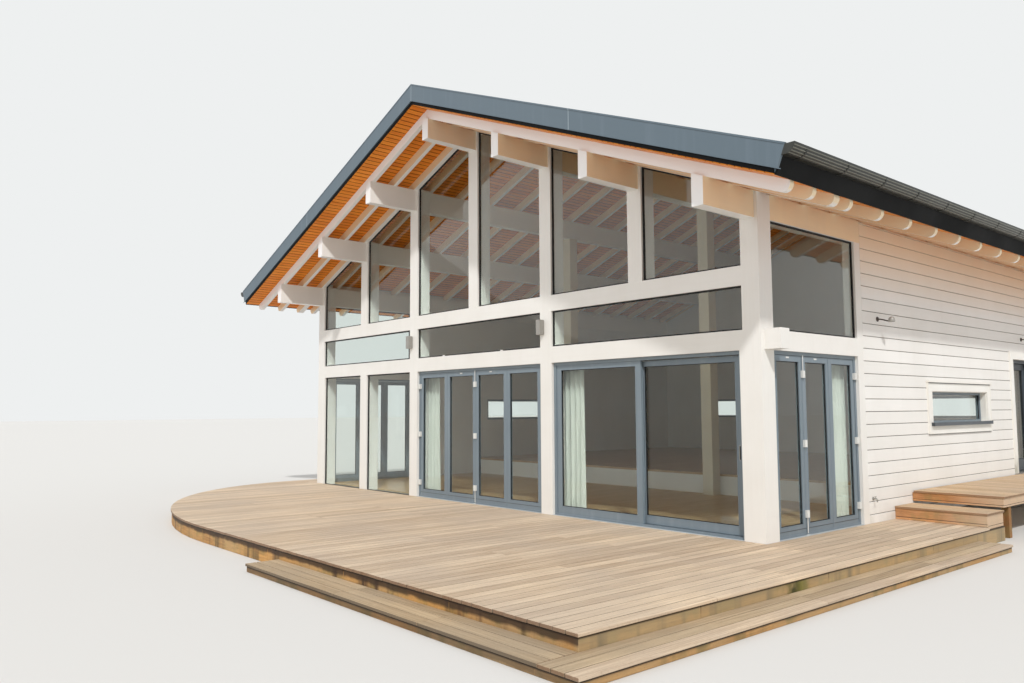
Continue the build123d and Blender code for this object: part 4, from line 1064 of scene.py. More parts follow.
@dataclass
class Cladding:
    """Horizontal boards on the side and rear walls, over a membrane painted dark as the shade in the board
    gaps, and a white lining.
    """

    course: float = 0.175
    first_line: float = 0.3345
    foot: float = 0.2
    board: float = 0.022
    gap: float = 0.008
    membrane: float = 0.008
    start: float = 2.515
    head: float = 4.383
    rafters: int = 16
    rafter_first: float = 0.29
    rafter_run: float = 11.345
    rafter_thick: float = 0.075
    eaves_run: Span = (0.06, 11.94)
    blocking: Span = (5.445, 5.475)
    blocking_height: float = 0.15
    head_board: Span = (5.48, 5.495)
    membrane_face: float = 5.503

    def courses(self, run: Span, top: float, holes: Sequence[tuple]) -> tuple[Array, Array]:
        """Divides a wall into courses and cuts them round the openings.

        Args:
            run: the wall's start and end.
            top: the top of the last course.
            holes: the openings as start, end, foot and head.

        Returns:
            The heights of the lines between the courses, and the boards as rows of start, end, foot and
            head, with half a gap taken off below and above.
        """
        lines = np.concatenate([[self.foot], np.arange(self.first_line, top, self.course), [top]])
        rows = [part for height in zip(lines, lines[1:]) for part in self.cut(run, height, holes)]
        return lines, np.array(rows) + np.array([0, 0, self.gap / 2, -self.gap / 2])

    def cut(self, run: Span, height: Span, holes: Sequence[tuple]) -> list[tuple]:
        """Cuts one course round the openings.

        Args:
            run: the course's start and end.
            height: its lower and upper edge.
            holes: the openings as start, end, foot and head.

        Returns:
            Rectangles as start, end, foot and head.
        """
        parts = []
        start, (low, high) = run[0], height
        for a, b, foot, head in sorted(holes):
            if high <= foot or low >= head or b <= run[0] or a >= run[1]:
                continue
            parts.append((start, a, low, high))
            if low < foot:
                parts.append((a, b, low, foot))
            if high > head:
                parts.append((a, b, head, high))
            start = b
        parts.append((start, run[1], low, high))
        return [part for part in parts if part[1] - part[0] > 0.01 and part[3] - part[2] > 0.01]

    def layer(self, face: Face, parts: Array, near: float, far: float) -> Array:
        """Blocks of a wall between two depths.

        On the rear wall the runs are held within the roof's slope: at each corner that is the rafters'
        seat at the ridge less the corner's height, divided by the slope.

        Args:
            face: the wall.
            parts: rows of start, end, foot and head.
            near: outer depth.
            far: inner depth.

        Returns:
            Eight corners for each block.
        """
        corners = boxes(columns(parts[:, 0], near, parts[:, 2]), columns(parts[:, 1], far, parts[:, 3]))
        if face is Face.REAR:
            limit = np.clip((RAFTER_SEAT - corners[..., 2]) / SLOPE, 0.0, HALF_HOUSE)
            corners[..., 0] = np.clip(corners[..., 0], -limit, limit)
        return face.bend(corners)

    def side(self, face: Face, holes: Sequence[tuple], nodes: Sequence[str], seed: int) -> None:
        """Builds one side wall.

        Args:
            face: the wall.
            holes: its openings.
            nodes: the nodes that it stands for.
            seed: picks the boards' shades.
        """
        run = (self.start + 0.002, HOUSE_DEPTH - WALL)
        parts = self.courses(run, self.head, holes)[1]
        Pile().blocks(self.layer(face, parts, 0.0, self.board), shades(len(parts), seed)).piece(
            f"cladding_boards_{face.value}", CLADDING_PAINT, bevel=0.004, replaces=nodes)
        self.backing(face, np.array(self.cut(run, (self.foot, WALL_TOP), holes)))
        self.eaves(face)

    def eaves(self, face: Face) -> None:
        """Closes the eaves: a plain head board in front, backing behind the top boards, and blocking.

        Each block starts as a flat box whose corners are then lifted by the rafters' seat at their x.

        Args:
            face: the side wall under the eaves.
        """
        name = face.value
        side = np.array([1 if face is Face.RIGHT else -1, 1, 1])
        rafters = self.rafter_first + self.rafter_run * np.arange(self.rafters) / (self.rafters - 1)
        ends = np.array([self.eaves_run[0], *rafters, self.eaves_run[1]])
        starts = np.append(ends[0], ends[1:-1] + self.rafter_thick)
        inner, outer = self.blocking
        blocks = boxes(columns(inner, starts, 0.0), columns(outer, ends[1:], self.blocking_height))
        blocks[..., 2] += seat(blocks[..., 0])
        inner, outer = self.head_board
        plain = boxes([[inner, SIDE_BAY[0], WALL_TOP], [inner, self.start, WALL_TOP]],
                      [[HALF_HOUSE, self.start, RAFTER_SEAT], [outer, HOUSE_DEPTH - WALL, RAFTER_SEAT]])
        plain[..., 2] = np.minimum(plain[..., 2], seat(plain[..., 0]))
        replaced = ["eaves_closing_boards"] if face is Face.RIGHT else []
        # The eaves boards carry painted warm bounce light
        Pile().blocks(np.concatenate([blocks, plain]) * side).piece(
            f"eaves_boards_inner_{name}", BOUNCE_LIT_PAINT_ALONG, replaces=replaced)
        # Dark membrane behind the top boards: painted shade in their gaps
        back = boxes([[outer, self.start, WALL_TOP]], [[self.membrane_face, HOUSE_DEPTH - WALL, self.head]])
        Pile().blocks(back * side).piece(f"eaves_membrane_{name}", DARK_BACKING_AND_SHADE, slot="white_cladding")

    def backing(self, face: Face, parts: Array) -> None:
        """Puts the membrane, painted dark as the shade in the board gaps, and the lining behind the boards of
        a wall.

        Args:
            face: the wall.
            parts: rows of start, end, foot and head.
        """
        middle = self.board + self.membrane
        for label, finish, near, far in (("membrane", DARK_BACKING_AND_SHADE, self.board, middle),
                                         ("lining", WHITE_PAINT, middle, WALL)):
            Pile().blocks(self.layer(face, parts, near, far)).piece(f"{label}_{face.value}", finish,
                                                                    slot="white_cladding")

    def rear(self) -> None:
        """Builds the rear gable wall, with its courses cut to the slope."""
        half = (WINDOW[1] - WINDOW[0]) / 2
        holes = [(x - half, x + half, *WINDOW[2:]) for x in REAR_WINDOWS]
        run = (-HALF_HOUSE, HALF_HOUSE)
        lines, parts = self.courses(run, RAFTER_SEAT - 0.04, holes)
        Pile().blocks(self.layer(Face.REAR, parts, 0.0, self.board), shades(len(parts), 5)).piece(
            "cladding_boards_rear", REAR_CLADDING_PAINT, bevel=0.004, replaces=["rear_wall"])
        bands = np.array(self.cut(run, (self.foot, WALL_TOP), holes)
                         + [(*run, low, high) for low, high in zip(lines, lines[1:]) if low > WALL_TOP])
        bands[bands[:, 3] == WALL_TOP, 3] = lines[lines > WALL_TOP][0]
        self.backing(Face.REAR, bands)

    def build(self) -> None:
        """Builds the three walls."""
        self.side(Face.RIGHT, [WINDOW, DOOR],
                  ["right_wall_front", "right_wall_door_bay", "right_wall_rear"], 3)
        self.side(Face.LEFT, [WINDOW], ["left_wall"], 4)
        self.rear()


@dataclass
class Roof:
    """Soffit boards, sheet roof with standing seams, folded verge strips, eaves boards and gutters."""

    lining: float = 0.15
    lining_thick: float = 0.024
    panel_top: float = 0.485
    front: float = -1.25
    rear: float = 13.25
    verge: float = 1.28
    eave: float = 6.53
    soffit_board: float = 0.096
    soffit_cut: float = 1.8
    soffit_length: float = 3.78
    soffit_gap: float = 0.0022
    rafter_step: float = 0.756
    seam_run: Span = (0.15, 6.62)
    seam_pitch: float = 0.43
    seam_height: float = 0.025
    seam_thick: float = 0.009
    gutter_low_back: float = 6.6285
    gutter_bottom: float = 4.307
    gutter_lip: float = 6.7803
    gutter_centre: Span = (6.6748, 4.4115)
    gutter_radius: float = 0.1057
    rib_angles: tuple[float, ...] = (-68, -51, -34, -17)
    rib_radius: float = 0.0062
    strap_angles: tuple[float, ...] = (-81, -66, -50, -35, -20, -6)
    strap_step: float = 0.86
    strap_width: float = 0.026
    pipe: Span = (5.583, 11.825)
    clip_heights: tuple[float, ...] = (0.5, 1.9, 3.2)
    outlet: Span = (6.6675, 4.25)

    def soffit(self) -> None:
        """Boards under the roof, parallel to the ridge, in lengths that end over a rafter."""
        step = self.soffit_board * math.cos(math.atan(SLOPE))
        edges = np.append(np.arange(0.002, self.eave - step, step), self.eave)
        shifts = np.random.default_rng(8).integers(-1, 2, (len(edges) - 1, 3))
        cuts = self.soffit_cut + self.soffit_length * np.arange(3)[None] + self.rafter_step * shifts
        flat = laid(edges, self.soffit_gap, cuts, (self.front, self.rear), (0.0, self.lining_thick))
        flat[..., 2] += seat(flat[..., 0]) + self.lining
        Pile().blocks(mirrored(flat), shades(2 * len(flat), 9)).piece(
            "soffit_boards", PINE, bevel=0.005, replaces=["ceiling_boards"])

    def seams(self) -> None:
        """Standing seams: thin upright folds that run up the slope, on both sides."""
        count = round((self.rear - self.front) / self.seam_pitch)
        lines = np.linspace(self.front, self.rear, count + 1)[1:-1]
        half, (start, end) = self.seam_thick / 2, self.seam_run
        flat = boxes(columns(start, lines - half, 0.0), columns(end, lines + half, self.seam_height))
        flat[..., 2] += seat(flat[..., 0]) + self.panel_top
        Pile().blocks(mirrored(flat)).piece("standing_seams", ROOF_SHEET, bevel=0.002)

    def fascia(self) -> None:
        """The folded strips along the front verge boards, and dark strips that close the roof's ends, partly
        a painted shadow line under the fascia.
        """
        folds = boxes([[0.0, -self.verge - 0.004, 0.482], [0.0, -self.verge - 0.003, 0.216]],
                      [[6.66, -self.verge, 0.502], [6.62, -self.verge, 0.226]])
        folds[..., 2] += seat(folds[..., 0])
        Pile().blocks(mirrored(folds)).piece("fascia_folds", FASCIA_SHEET)
        # Dark strips under the fascia: a drip edge, and a painted shadow line
        closing_and_shade = Pile()
        for y in (self.front, self.rear):
            for side in (-1, 1):
                strip = boxes([[0.0, y - 0.011, 0.164]], [[self.eave, y + 0.011, 0.2155]])
                strip[..., 2] += seat(strip[..., 0])
                closing_and_shade.blocks(strip * np.array([side, 1, 1]))
        closing_and_shade.piece("verge_drip_and_shade_strips", EAVES_SHEET)

    def gutter_arc(self, degrees: Sequence[float], out: float) -> Array:
        """Points out from the gutter's front, which is an arc from its floor up to its lip.

        Each point is the arc's centre plus the radius times the cosine and the sine of its angle.

        Args:
            degrees: the points' angles.
            out: how far the points stand out.

        Returns:
            Rows of the distance from the ridge and the height.
        """
        turn = np.radians(degrees)
        centre = np.array(self.gutter_centre)
        return centre + (self.gutter_radius + out) * np.stack([np.cos(turn), np.sin(turn)], 1)

    def gutters(self) -> None:
        """Ribs along the gutters' curved fronts, and straps round them."""
        ribs, straps = Pile(), Pile()
        strap = self.strap()
        ends = np.array([-1.279, 13.279])
        for side in (-1, 1):
            for x, z in self.gutter_arc(self.rib_angles, -0.0022):
                ribs.shell(*tube(columns(side * x, ends, z), self.rib_radius, (0, 0, 1), 10))
            for y in np.arange(self.front + 0.2, self.rear, self.strap_step):
                start = columns(side * strap[:, 0], y, strap[:, 1])
                straps.shell(*prism(start, start + np.array([0, self.strap_width, 0])))
        ribs.piece("gutter_ribs", GUTTER_RIB, smooth=True)
        straps.piece("gutter_straps", GUTTER_SHEET)

    def strap(self) -> Array:
        """Outline of a strap that goes under the gutter from its back to its lip.

        Returns:
            Rows of the distance from the ridge and the height.
        """
        inner = np.concatenate([[[self.gutter_low_back, self.gutter_bottom - 0.0002]],
                                self.gutter_arc(self.strap_angles, -HAIR)])
        outer = np.concatenate([[[self.gutter_low_back, self.gutter_bottom - 0.0055]],
                                self.gutter_arc(self.strap_angles, 0.0052)])
        outline = np.concatenate([inner, outer[::-1]])
        outline[:, 0] = np.minimum(outline[:, 0], self.gutter_lip)
        return outline

    def pipes(self) -> None:
        """Clips that hold the downpipes to the wall and collars at their tops."""
        pile = Pile()
        collar = np.array([[0.039, 0], [0.046, 0.002], [0.046, 0.05], [0.039, 0.052]])
        x, y = self.pipe
        for side in (-1, 1):
            for z in self.clip_heights:
                pile.shell(*turned(collar * [1, 0.6], (side * x, y, z), "Z", 20))
                pile.blocks(boxes([[side * HALF_HOUSE, y - 0.01, z + 0.005]],
                                  [[side * (x - 0.023), y + 0.01, z + 0.027]]))
            pile.shell(*turned(collar, (side * self.outlet[0], y, self.outlet[1]), "Z", 20))
        pile.piece("pipe_clips", GUTTER_SHEET, smooth=True)

    def build(self) -> None:
        """Builds the soffit, the seams and the gutter details, and dresses the roof's nodes."""
        dress(ROOF_SHEET, "roof_right", "roof_left", "ridge_cap")
        dress(FASCIA_SHEET, "verge_fascia")
        dress(EAVES_SHEET, "eaves_boards")
        dress(GUTTER_SHEET, "gutters", "downpipes")
        self.soffit()
        self.seams()
        self.fascia()
        self.gutters()
        self.pipes()


@dataclass
class Glazing:
    """Fixed panes with their seals, and clips on the sill of the middle band pane."""

    band_foot: float = 2.735

    def build(self) -> None:
        """Dresses panes and beads and adds the clips."""
        dress(GLASS, "window_panes", "sliding_leaf_glass", "entrance_door_glass")
        dress(SEAL, "window_beads")
        clips = Pile()
        for x in (-0.9, 0.7):
            clips.blocks(boxes([[x, 0.012, self.band_foot]], [[x + 0.05, 0.03, self.band_foot + 0.022]]))
        clips.piece("sill_clips", HINGE_COAT, bevel=0.002)


@dataclass
class Leaves:
    """A row of glazed leaves in one opening."""

    face: Face
    name: str
    start: float
    end: float
    count: int
    low: float = 0.25
    high: float = 2.441
    stile: float = 0.075
    top: float = 0.075
    bottom: float = 0.11
    outer: float = 0.0525
    thick: float = 0.055
    glass: float = 0.012
    frame: float = 0.045
    gap: float = 0.004
    seal: float = 0.007
    seal_reach: float = 0.008
    rim: float = 0.012

    def spans(self) -> Array:
        """Start and end of each leaf along the wall.

        Returns:
            Rows of start and end.
        """
        pitch = (self.end - self.start - 2 * self.frame - 2 * self.gap) / self.count
        starts = self.start + self.frame + self.gap + pitch * np.arange(self.count)
        return np.stack([starts, starts + pitch - self.gap], 1)

    def panes(self) -> tuple[Pile, Pile]:
        """Seals on both sides of each pane, and raised rims round its opening as pressed beads.

        Returns:
            All seals and all rims of the row.
        """
        seals, rims = Pile(), Pile()
        pane = self.outer + (self.thick - self.glass) / 2
        height = (self.low + self.bottom, self.high - self.top)
        for leaf in self.spans():
            run = grown(leaf, -self.stile)
            for depth in ((pane - self.seal_reach, pane - HAIR),
                          (pane + self.glass + HAIR, pane + self.glass + self.seal_reach)):
                seals.blocks(self.face.ring(run, depth, height, self.seal))
            rims.blocks(self.face.ring(grown(run, self.rim), (self.outer - 0.0025, self.outer + 0.001),
                                       grown(height, self.rim), self.rim))
        return seals, rims

    def build(self) -> None:
        """Adds drip profiles across the bottom rails, the seals and rims, and strips on the joints."""
        spans, (seals, rims) = self.spans(), self.panes()
        drips = self.face.boxes(columns(spans[:, 0] + 0.004, self.outer - 0.003, self.low + 0.052),
                                columns(spans[:, 1] - 0.004, self.outer + 0.001, self.low + 0.058))
        Pile().blocks(drips).piece(f"leaf_weather_lips_{self.name}", DARK_PROFILE)
        seals.piece(f"leaf_seals_{self.name}", SEAL)
        rims.piece(f"leaf_rims_{self.name}", GREY_PROFILE, bevel=0.0012)
        joints = spans[:-1, 1]
        strips = self.face.boxes(columns(joints - 0.011, self.outer - 0.004, self.low + 0.01),
                                 columns(joints + 0.011, self.outer - HAIR, self.high - 0.01))
        Pile().blocks(strips).piece(f"leaf_lips_{self.name}", GREY_PROFILE, bevel=0.001)


@dataclass
class Doors:
    """Folding and sliding doors: dressed profiles, seals, threshold strips, head plates and a pull."""

    sill: Span = (0.2005, 0.2235)
    keeper_top: float = 0.2295
    pull_place: Span = (5.122, 1.25)
    pull_radius: float = 0.017
    pull_reach: float = 0.075
    sliding_run: Span = (1.97, 5.18)
    overlap: float = 0.045
    stile: float = 0.1
    rails: Span = (0.11, 0.075)
    seal: float = 0.008
    rim: float = 0.014

    def strips(self) -> None:
        """Light sills in front of the frames, with the keepers of the long bolts."""
        low, high = self.sill
        sills = boxes(columns([-1.674, 1.926], 0.001, low), columns([1.674, 5.224], 0.0445, high))
        sides = boxes([[5.481, SIDE_BAY[0] + 0.001, low]], [[5.524, SIDE_BAY[1] - 0.001, high]])
        strips = np.concatenate([sills, mirrored(sides)])
        Pile().blocks(strips).piece("threshold_strips", SILL_COAT, bevel=0.002)
        keepers = boxes(columns([-0.022, 5.487, -5.523], [0.0015, 0.9405, 0.9405], high),
                        columns([0.022, 5.523, -5.487], [0.038, 0.9845, 0.9845], self.keeper_top))
        Pile().blocks(keepers).piece("bolt_keepers", HINGE_COAT, bevel=0.0015)

    def pull(self) -> None:
        """A flush pull on the sliding leaf: an oval plate with a darker inset that is painted shade for its
        recess, on both faces.

        The oval is a circle whose upper and lower halves are moved apart.
        """
        angle = np.linspace(0, 2 * np.pi, 33)[:-1]
        middle, height = self.pull_place
        lobe = np.sign(np.sin(angle)) * self.pull_reach
        plate, inset = Pile(), Pile()
        for face, out in ((0.12, -1), (0.165, 1)):
            for pile, size, depth in ((plate, 1.0, 0.0025), (inset, 0.62, 0.0032)):
                x = middle + self.pull_radius * size * np.cos(angle)
                z = height + self.pull_radius * size * np.sin(angle) + lobe
                start = columns(x, face, z)
                pile.shell(*prism(start, start + np.array([0, out * depth, 0])))
        plate.piece("sliding_pull_plate", BRIGHT_METAL, body="sliding_leaf", slot="grey_aluminium")
        # The dark inset is painted shade for the pull's recess
        inset.piece("sliding_pull_recess_shade", SEAL, body="sliding_leaf")

    def sliding_seals(self) -> None:
        """Seals round the panes of the fixed and the sliding leaf."""
        start, end = self.sliding_run
        middle = (start + end) / 2
        rows = (("fixed_leaf_seals", HOUSE, (start, middle + self.overlap), 0.06, (0.25, 2.445)),
                ("sliding_leaf_seals", "sliding_leaf", (middle - self.overlap, end - 0.008), 0.12,
                 (0.258, 2.437)))
        for name, body, run, outer, height in rows:
            run = grown(run, -self.stile)
            height = (height[0] + self.rails[0], height[1] - self.rails[1])
            pile = Pile()
            pane = outer + 0.0165
            for depth in ((pane - 0.008, pane - HAIR), (pane + 0.0125, pane + 0.02)):
                pile.blocks(Face.FRONT.ring(run, depth, height, self.seal))
            pile.piece(name, SEAL, body=body)
            rim = Face.FRONT.ring(grown(run, self.rim), (outer - 0.0025, outer + 0.001),
                                  grown(height, self.rim), self.rim)
            Pile().blocks(rim).piece(name.replace("seals", "rim"), GREY_PROFILE, body=body, bevel=0.0012)

    def head_plates(self) -> None:
        """Light guide plates at the middle of the leaves next to the outer hinge stacks."""
        plates, heads = Pile(), []
        for face, middles in ((Face.FRONT, (-0.405, 0.405)), (Face.RIGHT, (0.65, 1.31)),
                              (Face.LEFT, (0.65, 1.31))):
            for run in middles:
                plates.blocks(face.boxes([[run - 0.034, 0.0485, 2.405]], [[run + 0.034, 0.053, 2.425]]))
                if face is Face.FRONT:
                    heads += [[run + shift, 0.0485, 2.415] for shift in (-0.022, 0.022)]
        plates.piece("leaf_head_plates", HINGE_COAT, bevel=0.0015)
        screws(np.array(heads), "-Y", 0.005, 0.0015).piece("head_plate_screws", BRIGHT_METAL)

    def build(self) -> None:
        """Dresses the nodes and adds every leaf's details."""
        dress(GREY_PROFILE, "folding_door_frames", "folding_door_leaves", "sliding_door_frame",
              "fixed_door_leaf", "sliding_leaf")
        dress(HINGE_COAT, "folding_door_hinges")
        for face, name, start, end, count in ((Face.FRONT, "front", -1.675, 1.675, 4),
                                              (Face.RIGHT, "right", *SIDE_BAY, 3),
                                              (Face.LEFT, "left", *SIDE_BAY, 3)):
            Leaves(face, name, start, end, count).build()
        self.strips()
        self.pull()
        self.sliding_seals()
        self.head_plates()


@dataclass
class RibbonWindows:
    """Small long windows: trim boards with a drip cap, reveals, seals and sills."""

    trim: float = 0.15
    rim: float = 0.016
    frame: float = 0.045
    sash: float = 0.03

    def window(self, face: Face, start: float, name: str) -> None:
        """Adds one window's drip cap, dark strips that are painted shadow under the cap and below the trim,
        reveals and seals.

        Args:
            face: the wall it is in.
            start: where its opening starts along the wall.
            name: ends its pieces' names.
        """
        run, height = (start, start + WINDOW[1] - WINDOW[0]), WINDOW[2:]
        end = run[1]
        (left, right), (low, high) = grown(run, self.trim), grown(height, self.trim)
        cap = face.boxes([[left - 0.008, -0.048, high - 0.018]], [[right + 0.008, -HAIR, high + 0.014]])
        top = high - 0.018
        rims = face.boxes(columns([left, right - self.rim, left + self.rim], -0.028, low),
                          columns([left + self.rim, right, right - self.rim], -0.0215,
                                  [top, top, low + self.rim]))
        Pile().blocks(np.concatenate([cap, rims])).piece(f"window_drip_cap_{name}", TRIM_PAINT, bevel=0.002)
        # Dark strips under the drip cap and below the trim: painted shadow lines
        lines = face.boxes([[left + self.rim, -0.0235, high - 0.03], [left + 0.01, -0.018, low - 0.009]],
                           [[right - self.rim, -0.0215, top], [right - 0.01, -HAIR, low]])
        Pile().blocks(lines).piece(f"window_shadow_strips_{name}", DARK_PROFILE)
        fold = face.boxes(columns([start - 0.07, start - 0.072, end + 0.07], -0.0725, 1.503),
                          columns([end + 0.07, start - 0.07, end + 0.072], [-0.0695, -0.022, -0.022], 1.556))
        Pile().blocks(fold).piece(f"window_sill_fold_{name}", DARK_PROFILE, slot="grey_aluminium")
        for label, finish, inset, depth, wide, bevel in (
                ("reveals", TRIM_PAINT, 0.0, (0.0, 0.0895), 0.012, 0.0),
                ("seals", SEAL, self.frame, (0.107, 0.1185), 0.007, 0.0),
                ("sash_rim", GREY_PROFILE, self.sash, (0.086, 0.0905), 0.02, 0.001)):
            bars = face.ring(grown(run, -inset), depth, grown(height, -inset), wide)
            Pile().blocks(bars).piece(f"window_{label}_{name}", finish, bevel=bevel)

    def build(self) -> None:
        """Dresses the nodes and adds all four windows' details."""
        dress(TRIM_PAINT, "ribbon_window_trim")
        dress(GREY_PROFILE, "ribbon_window_frames", "ribbon_window_sills")
        self.window(Face.RIGHT, WINDOW[0], "right")
        self.window(Face.LEFT, WINDOW[0], "left")
        for number, x in enumerate(REAR_WINDOWS):
            self.window(Face.REAR, x - (WINDOW[1] - WINDOW[0]) / 2, f"rear_{number}")


@dataclass
class Entrance:
    """Dark glazed entrance door: seals, weather bar, threshold and turned knobs."""

    frame: float = 0.068
    stile: float = 0.11
    rails: Span = (0.228, 0.178)
    rim: float = 0.015
    leaf_depth: float = 0.12
    knob_height: float = 1.0

    def build(self) -> None:
        """Dresses the nodes and adds the door's details."""
        dress(ENTRANCE_TRIM_PAINT, "entrance_trim")
        dress(DARK_PROFILE, "entrance_frame", "entrance_door")
        start, end, foot, head = DOOR
        leaf = grown((start, end), -self.frame)
        run, height = grown(leaf, -self.stile), (foot + self.rails[0], head - self.rails[1])
        seals = Pile()
        for depth in ((0.136, 0.1435), (0.1565, 0.164)):
            seals.blocks(Face.RIGHT.ring(run, depth, height, 0.008))
        seals.piece("entrance_pane_seals", SEAL, body="entrance_leaf")
        rim = Face.RIGHT.ring(grown(run, self.rim), (0.1165, 0.121), grown(height, self.rim), self.rim)
        Pile().blocks(rim).piece("entrance_pane_rim", DARK_PROFILE, body="entrance_leaf", bevel=0.0015)
        bar = boxes([[HALF_HOUSE - self.leaf_depth, leaf[0] + 0.01, foot + 0.03]],
                    [[HALF_HOUSE - 0.095, leaf[1] - 0.01, foot + 0.055]])
        Pile().blocks(bar).piece("entrance_weather_bar", DARK_PROFILE, body="entrance_leaf", bevel=0.006)
        knob = np.array([[0.031, 0.0], [0.031, 0.005], [0.027, 0.0075], [0.0255, 0.009], [0.0255, 0.034],
                         [0.029, 0.038], [0.031, 0.044], [0.030, 0.050], [0.024, 0.0535], [0.010, 0.055]])
        pile = Pile()
        y, z = leaf[0] + 0.055, foot + self.knob_height
        pile.shell(*turned(knob, (HALF_HOUSE - self.leaf_depth, y, z), "X", 32))
        pile.shell(*turned(knob * [1, -1], (INNER_HALF, y, z), "X", 32))
        pile.piece("entrance_knobs", BRIGHT_METAL, body="entrance_leaf", smooth=True)
        sill = boxes([[HALF_HOUSE - WALL + 0.001, start + 0.001, foot + 0.0003]],
                     [[HALF_HOUSE + 0.02, end - 0.001, foot + 0.006]])
        Pile().blocks(sill).piece("entrance_threshold", BRIGHT_METAL, bevel=0.002)


@dataclass
class Deck:
    """Deck boards cut to the curved edge, skirts, steps and the side deck."""

    board: float = 0.13667
    gap: float = 0.007
    thick: float = 0.028
    front: float = -4.33
    right: float = 6.755
    centre: float = -0.5
    reach: float = 5.87
    side_deck: float = 3.82
    left_end: float = 2.5
    nose: float = 0.015
    skirt: float = 0.025
    joints: tuple[float, ...] = (-2.69, -1.39, -0.09)
    far_joints: tuple[float, ...] = (1.43, 0.9, 2.1)
    screw_rows: tuple[float, ...] = (-3.26, -1.96, -0.66, 1.43)
    bearers: tuple[float, ...] = (-3.29, -1.99, -0.69)
    bearer: float = 0.06
    low_front: float = -4.715
    low_right: float = 7.14
    low_height: Span = (0.062, 0.09)
    step_front: float = 3.25
    step_height: Span = (0.372, 0.4)
    side_end: float = 10.5
    side_height: Span = (0.552, 0.58)
    riser_height: Span = (0.432, 0.5515)
    post: float = 0.095

    def edge(self, x: Array) -> Array:
        """The deck's front edge at x: straight on the right, then a quarter of an ellipse on the left."""
        share = np.clip((self.centre - x) / self.reach, 0, 1)
        return self.front * np.sqrt(1 - share ** 2)

    def strips(self) -> tuple[Array, Array, Array]:
        """Left and right edges of the boards, and where each ends at the back.

        Returns:
            Those three, as x, x and y.
        """
        lines = self.right - self.board * np.arange(98)
        lines = lines[lines > self.centre - self.reach + 0.03]
        lines = np.sort(np.concatenate([lines, [self.centre - self.reach, -HALF_HOUSE]]))
        left, right = lines[:-1], lines[1:]
        middle = (left + right) / 2
        back = np.where(middle < -HALF_HOUSE, self.left_end, 0.0)
        back = np.where(middle > HALF_HOUSE, self.side_deck, back)
        back = np.where(middle > self.right - self.board, 3.262, back)
        return left, right, back

    def boards(self) -> None:
        """Deck boards as strips of short blocks, whose front ends follow the edge.

        Each board is sampled at seven places across its width; the front end at each is the edge's y,
        a little in or out, and the board is split over a bearer where it is long.
        """
        left, right, back = self.strips()
        number = len(left)
        share = np.linspace(0, 1, 7)
        x = (left + self.gap / 2)[:, None] + (right - left - self.gap)[:, None] * share
        ragged = np.random.default_rng(21).uniform(-0.003, 0.003, number)[:, None]
        front = self.edge(x) + np.where(x > self.centre, ragged, 0.0)
        length = back - front.mean(1)
        split = np.random.default_rng(22).choice(self.joints, number)
        far_split = np.random.default_rng(23).choice(self.far_joints, number)
        inner, outer = Pile(), Pile()
        tones = shades(3 * number, 24)
        for i in range(number):
            pile = outer if i == number - 1 else inner
            stops = [split[i]] if length[i] > 3.9 and split[i] > front[i].max() + 0.4 else []
            stops = stops + ([far_split[i]] if back[i] > 3.0 else [])
            ends = [front[i]] + [np.full(7, stop) for stop in stops] + [np.full(7, back[i] - 0.002)]
            for part, (near, far) in enumerate(zip(ends, ends[1:])):
                near = near + (0.0015 if part else 0.0)
                far = far - 0.0015
                self.strip(pile, x[i], near, far, tones[3 * i + part])
        inner.piece("deck_boards", DECKING, bevel=0.004, replaces=["main_deck"])
        outer.piece("deck_nosing_board", DECK_NOSING, bevel=0.004)
        # Dark strips down in the gaps between boards: painted shade, and dirt
        middle, back = left[1:], np.minimum(back[:-1], back[1:])
        low = columns(middle - 0.0034, self.edge(middle) + 0.04, DECK_TOP - 0.024)
        high = columns(middle + 0.0034, back - 0.01, DECK_TOP - 0.005)
        Pile().blocks(boxes(low, high)).piece("deck_gap_shade_and_dirt", GAP_SHADE_AND_DIRT)

    def strip(self, pile: Pile, x: Array, near: Array, far: Array, tone: float) -> None:
        """Adds one board whose two ends are given at several places across its width.

        Args:
            pile: gets the board.
            x: the places across the width.
            near: y of the front end at each place.
            far: y of the rear end at each place.
            tone: the board's shade.
        """
        outline = np.concatenate([np.stack([x, near], 1), np.stack([x[::-1], far[::-1]], 1)[[0, -1]]])
        low = columns(*outline.T, DECK_TOP - self.thick)
        pile.shell(*prism(low, low + np.array([0, 0, self.thick])), tone)

    def screws(self) -> None:
        """Two screw heads in each board over every bearer."""
        left, right, back = self.strips()
        wide = right - left > 0.08
        xs = np.concatenate([left[wide] + 0.03, right[wide] - 0.03])
        backs = np.tile(back[wide], 2)
        places = [columns(xs, y, DECK_TOP)[(self.edge(xs) < y - 0.03) & (backs > y + 0.03)]
                  for y in self.screw_rows]
        screws(np.concatenate(places), "+Z", 0.0045, 0.0008).piece("deck_screws", BRIGHT_METAL)

    def skirt_line(self) -> tuple[Array, Array]:
        """Ends of the skirt's boards on its outer line, from the right rear to the left.

        The curved part turns by a quarter: x is the centre less the reach times the sine, and y is the
        front times the cosine.

        Returns:
            Rows of x and y where the boards start, and where they end.
        """
        right, front = self.right - self.nose, self.front + self.nose
        side = columns(right, (self.side_deck, 1.55, -0.85, -2.9, front))
        straight = columns((right, 5.2, 3.4, 1.6, 0.3, self.centre), front)
        turn = np.linspace(0, np.pi / 2, 19)
        curve = columns(self.centre - (self.reach - self.nose) * np.sin(turn), front * np.cos(turn))
        end, rear = curve[-1, 0], self.left_end - self.nose
        lines = (side, straight, curve, np.array([[end, 0.0], [end, rear], [-HALF_HOUSE, rear]]))
        return np.concatenate([line[:-1] for line in lines]), np.concatenate([line[1:] for line in lines])

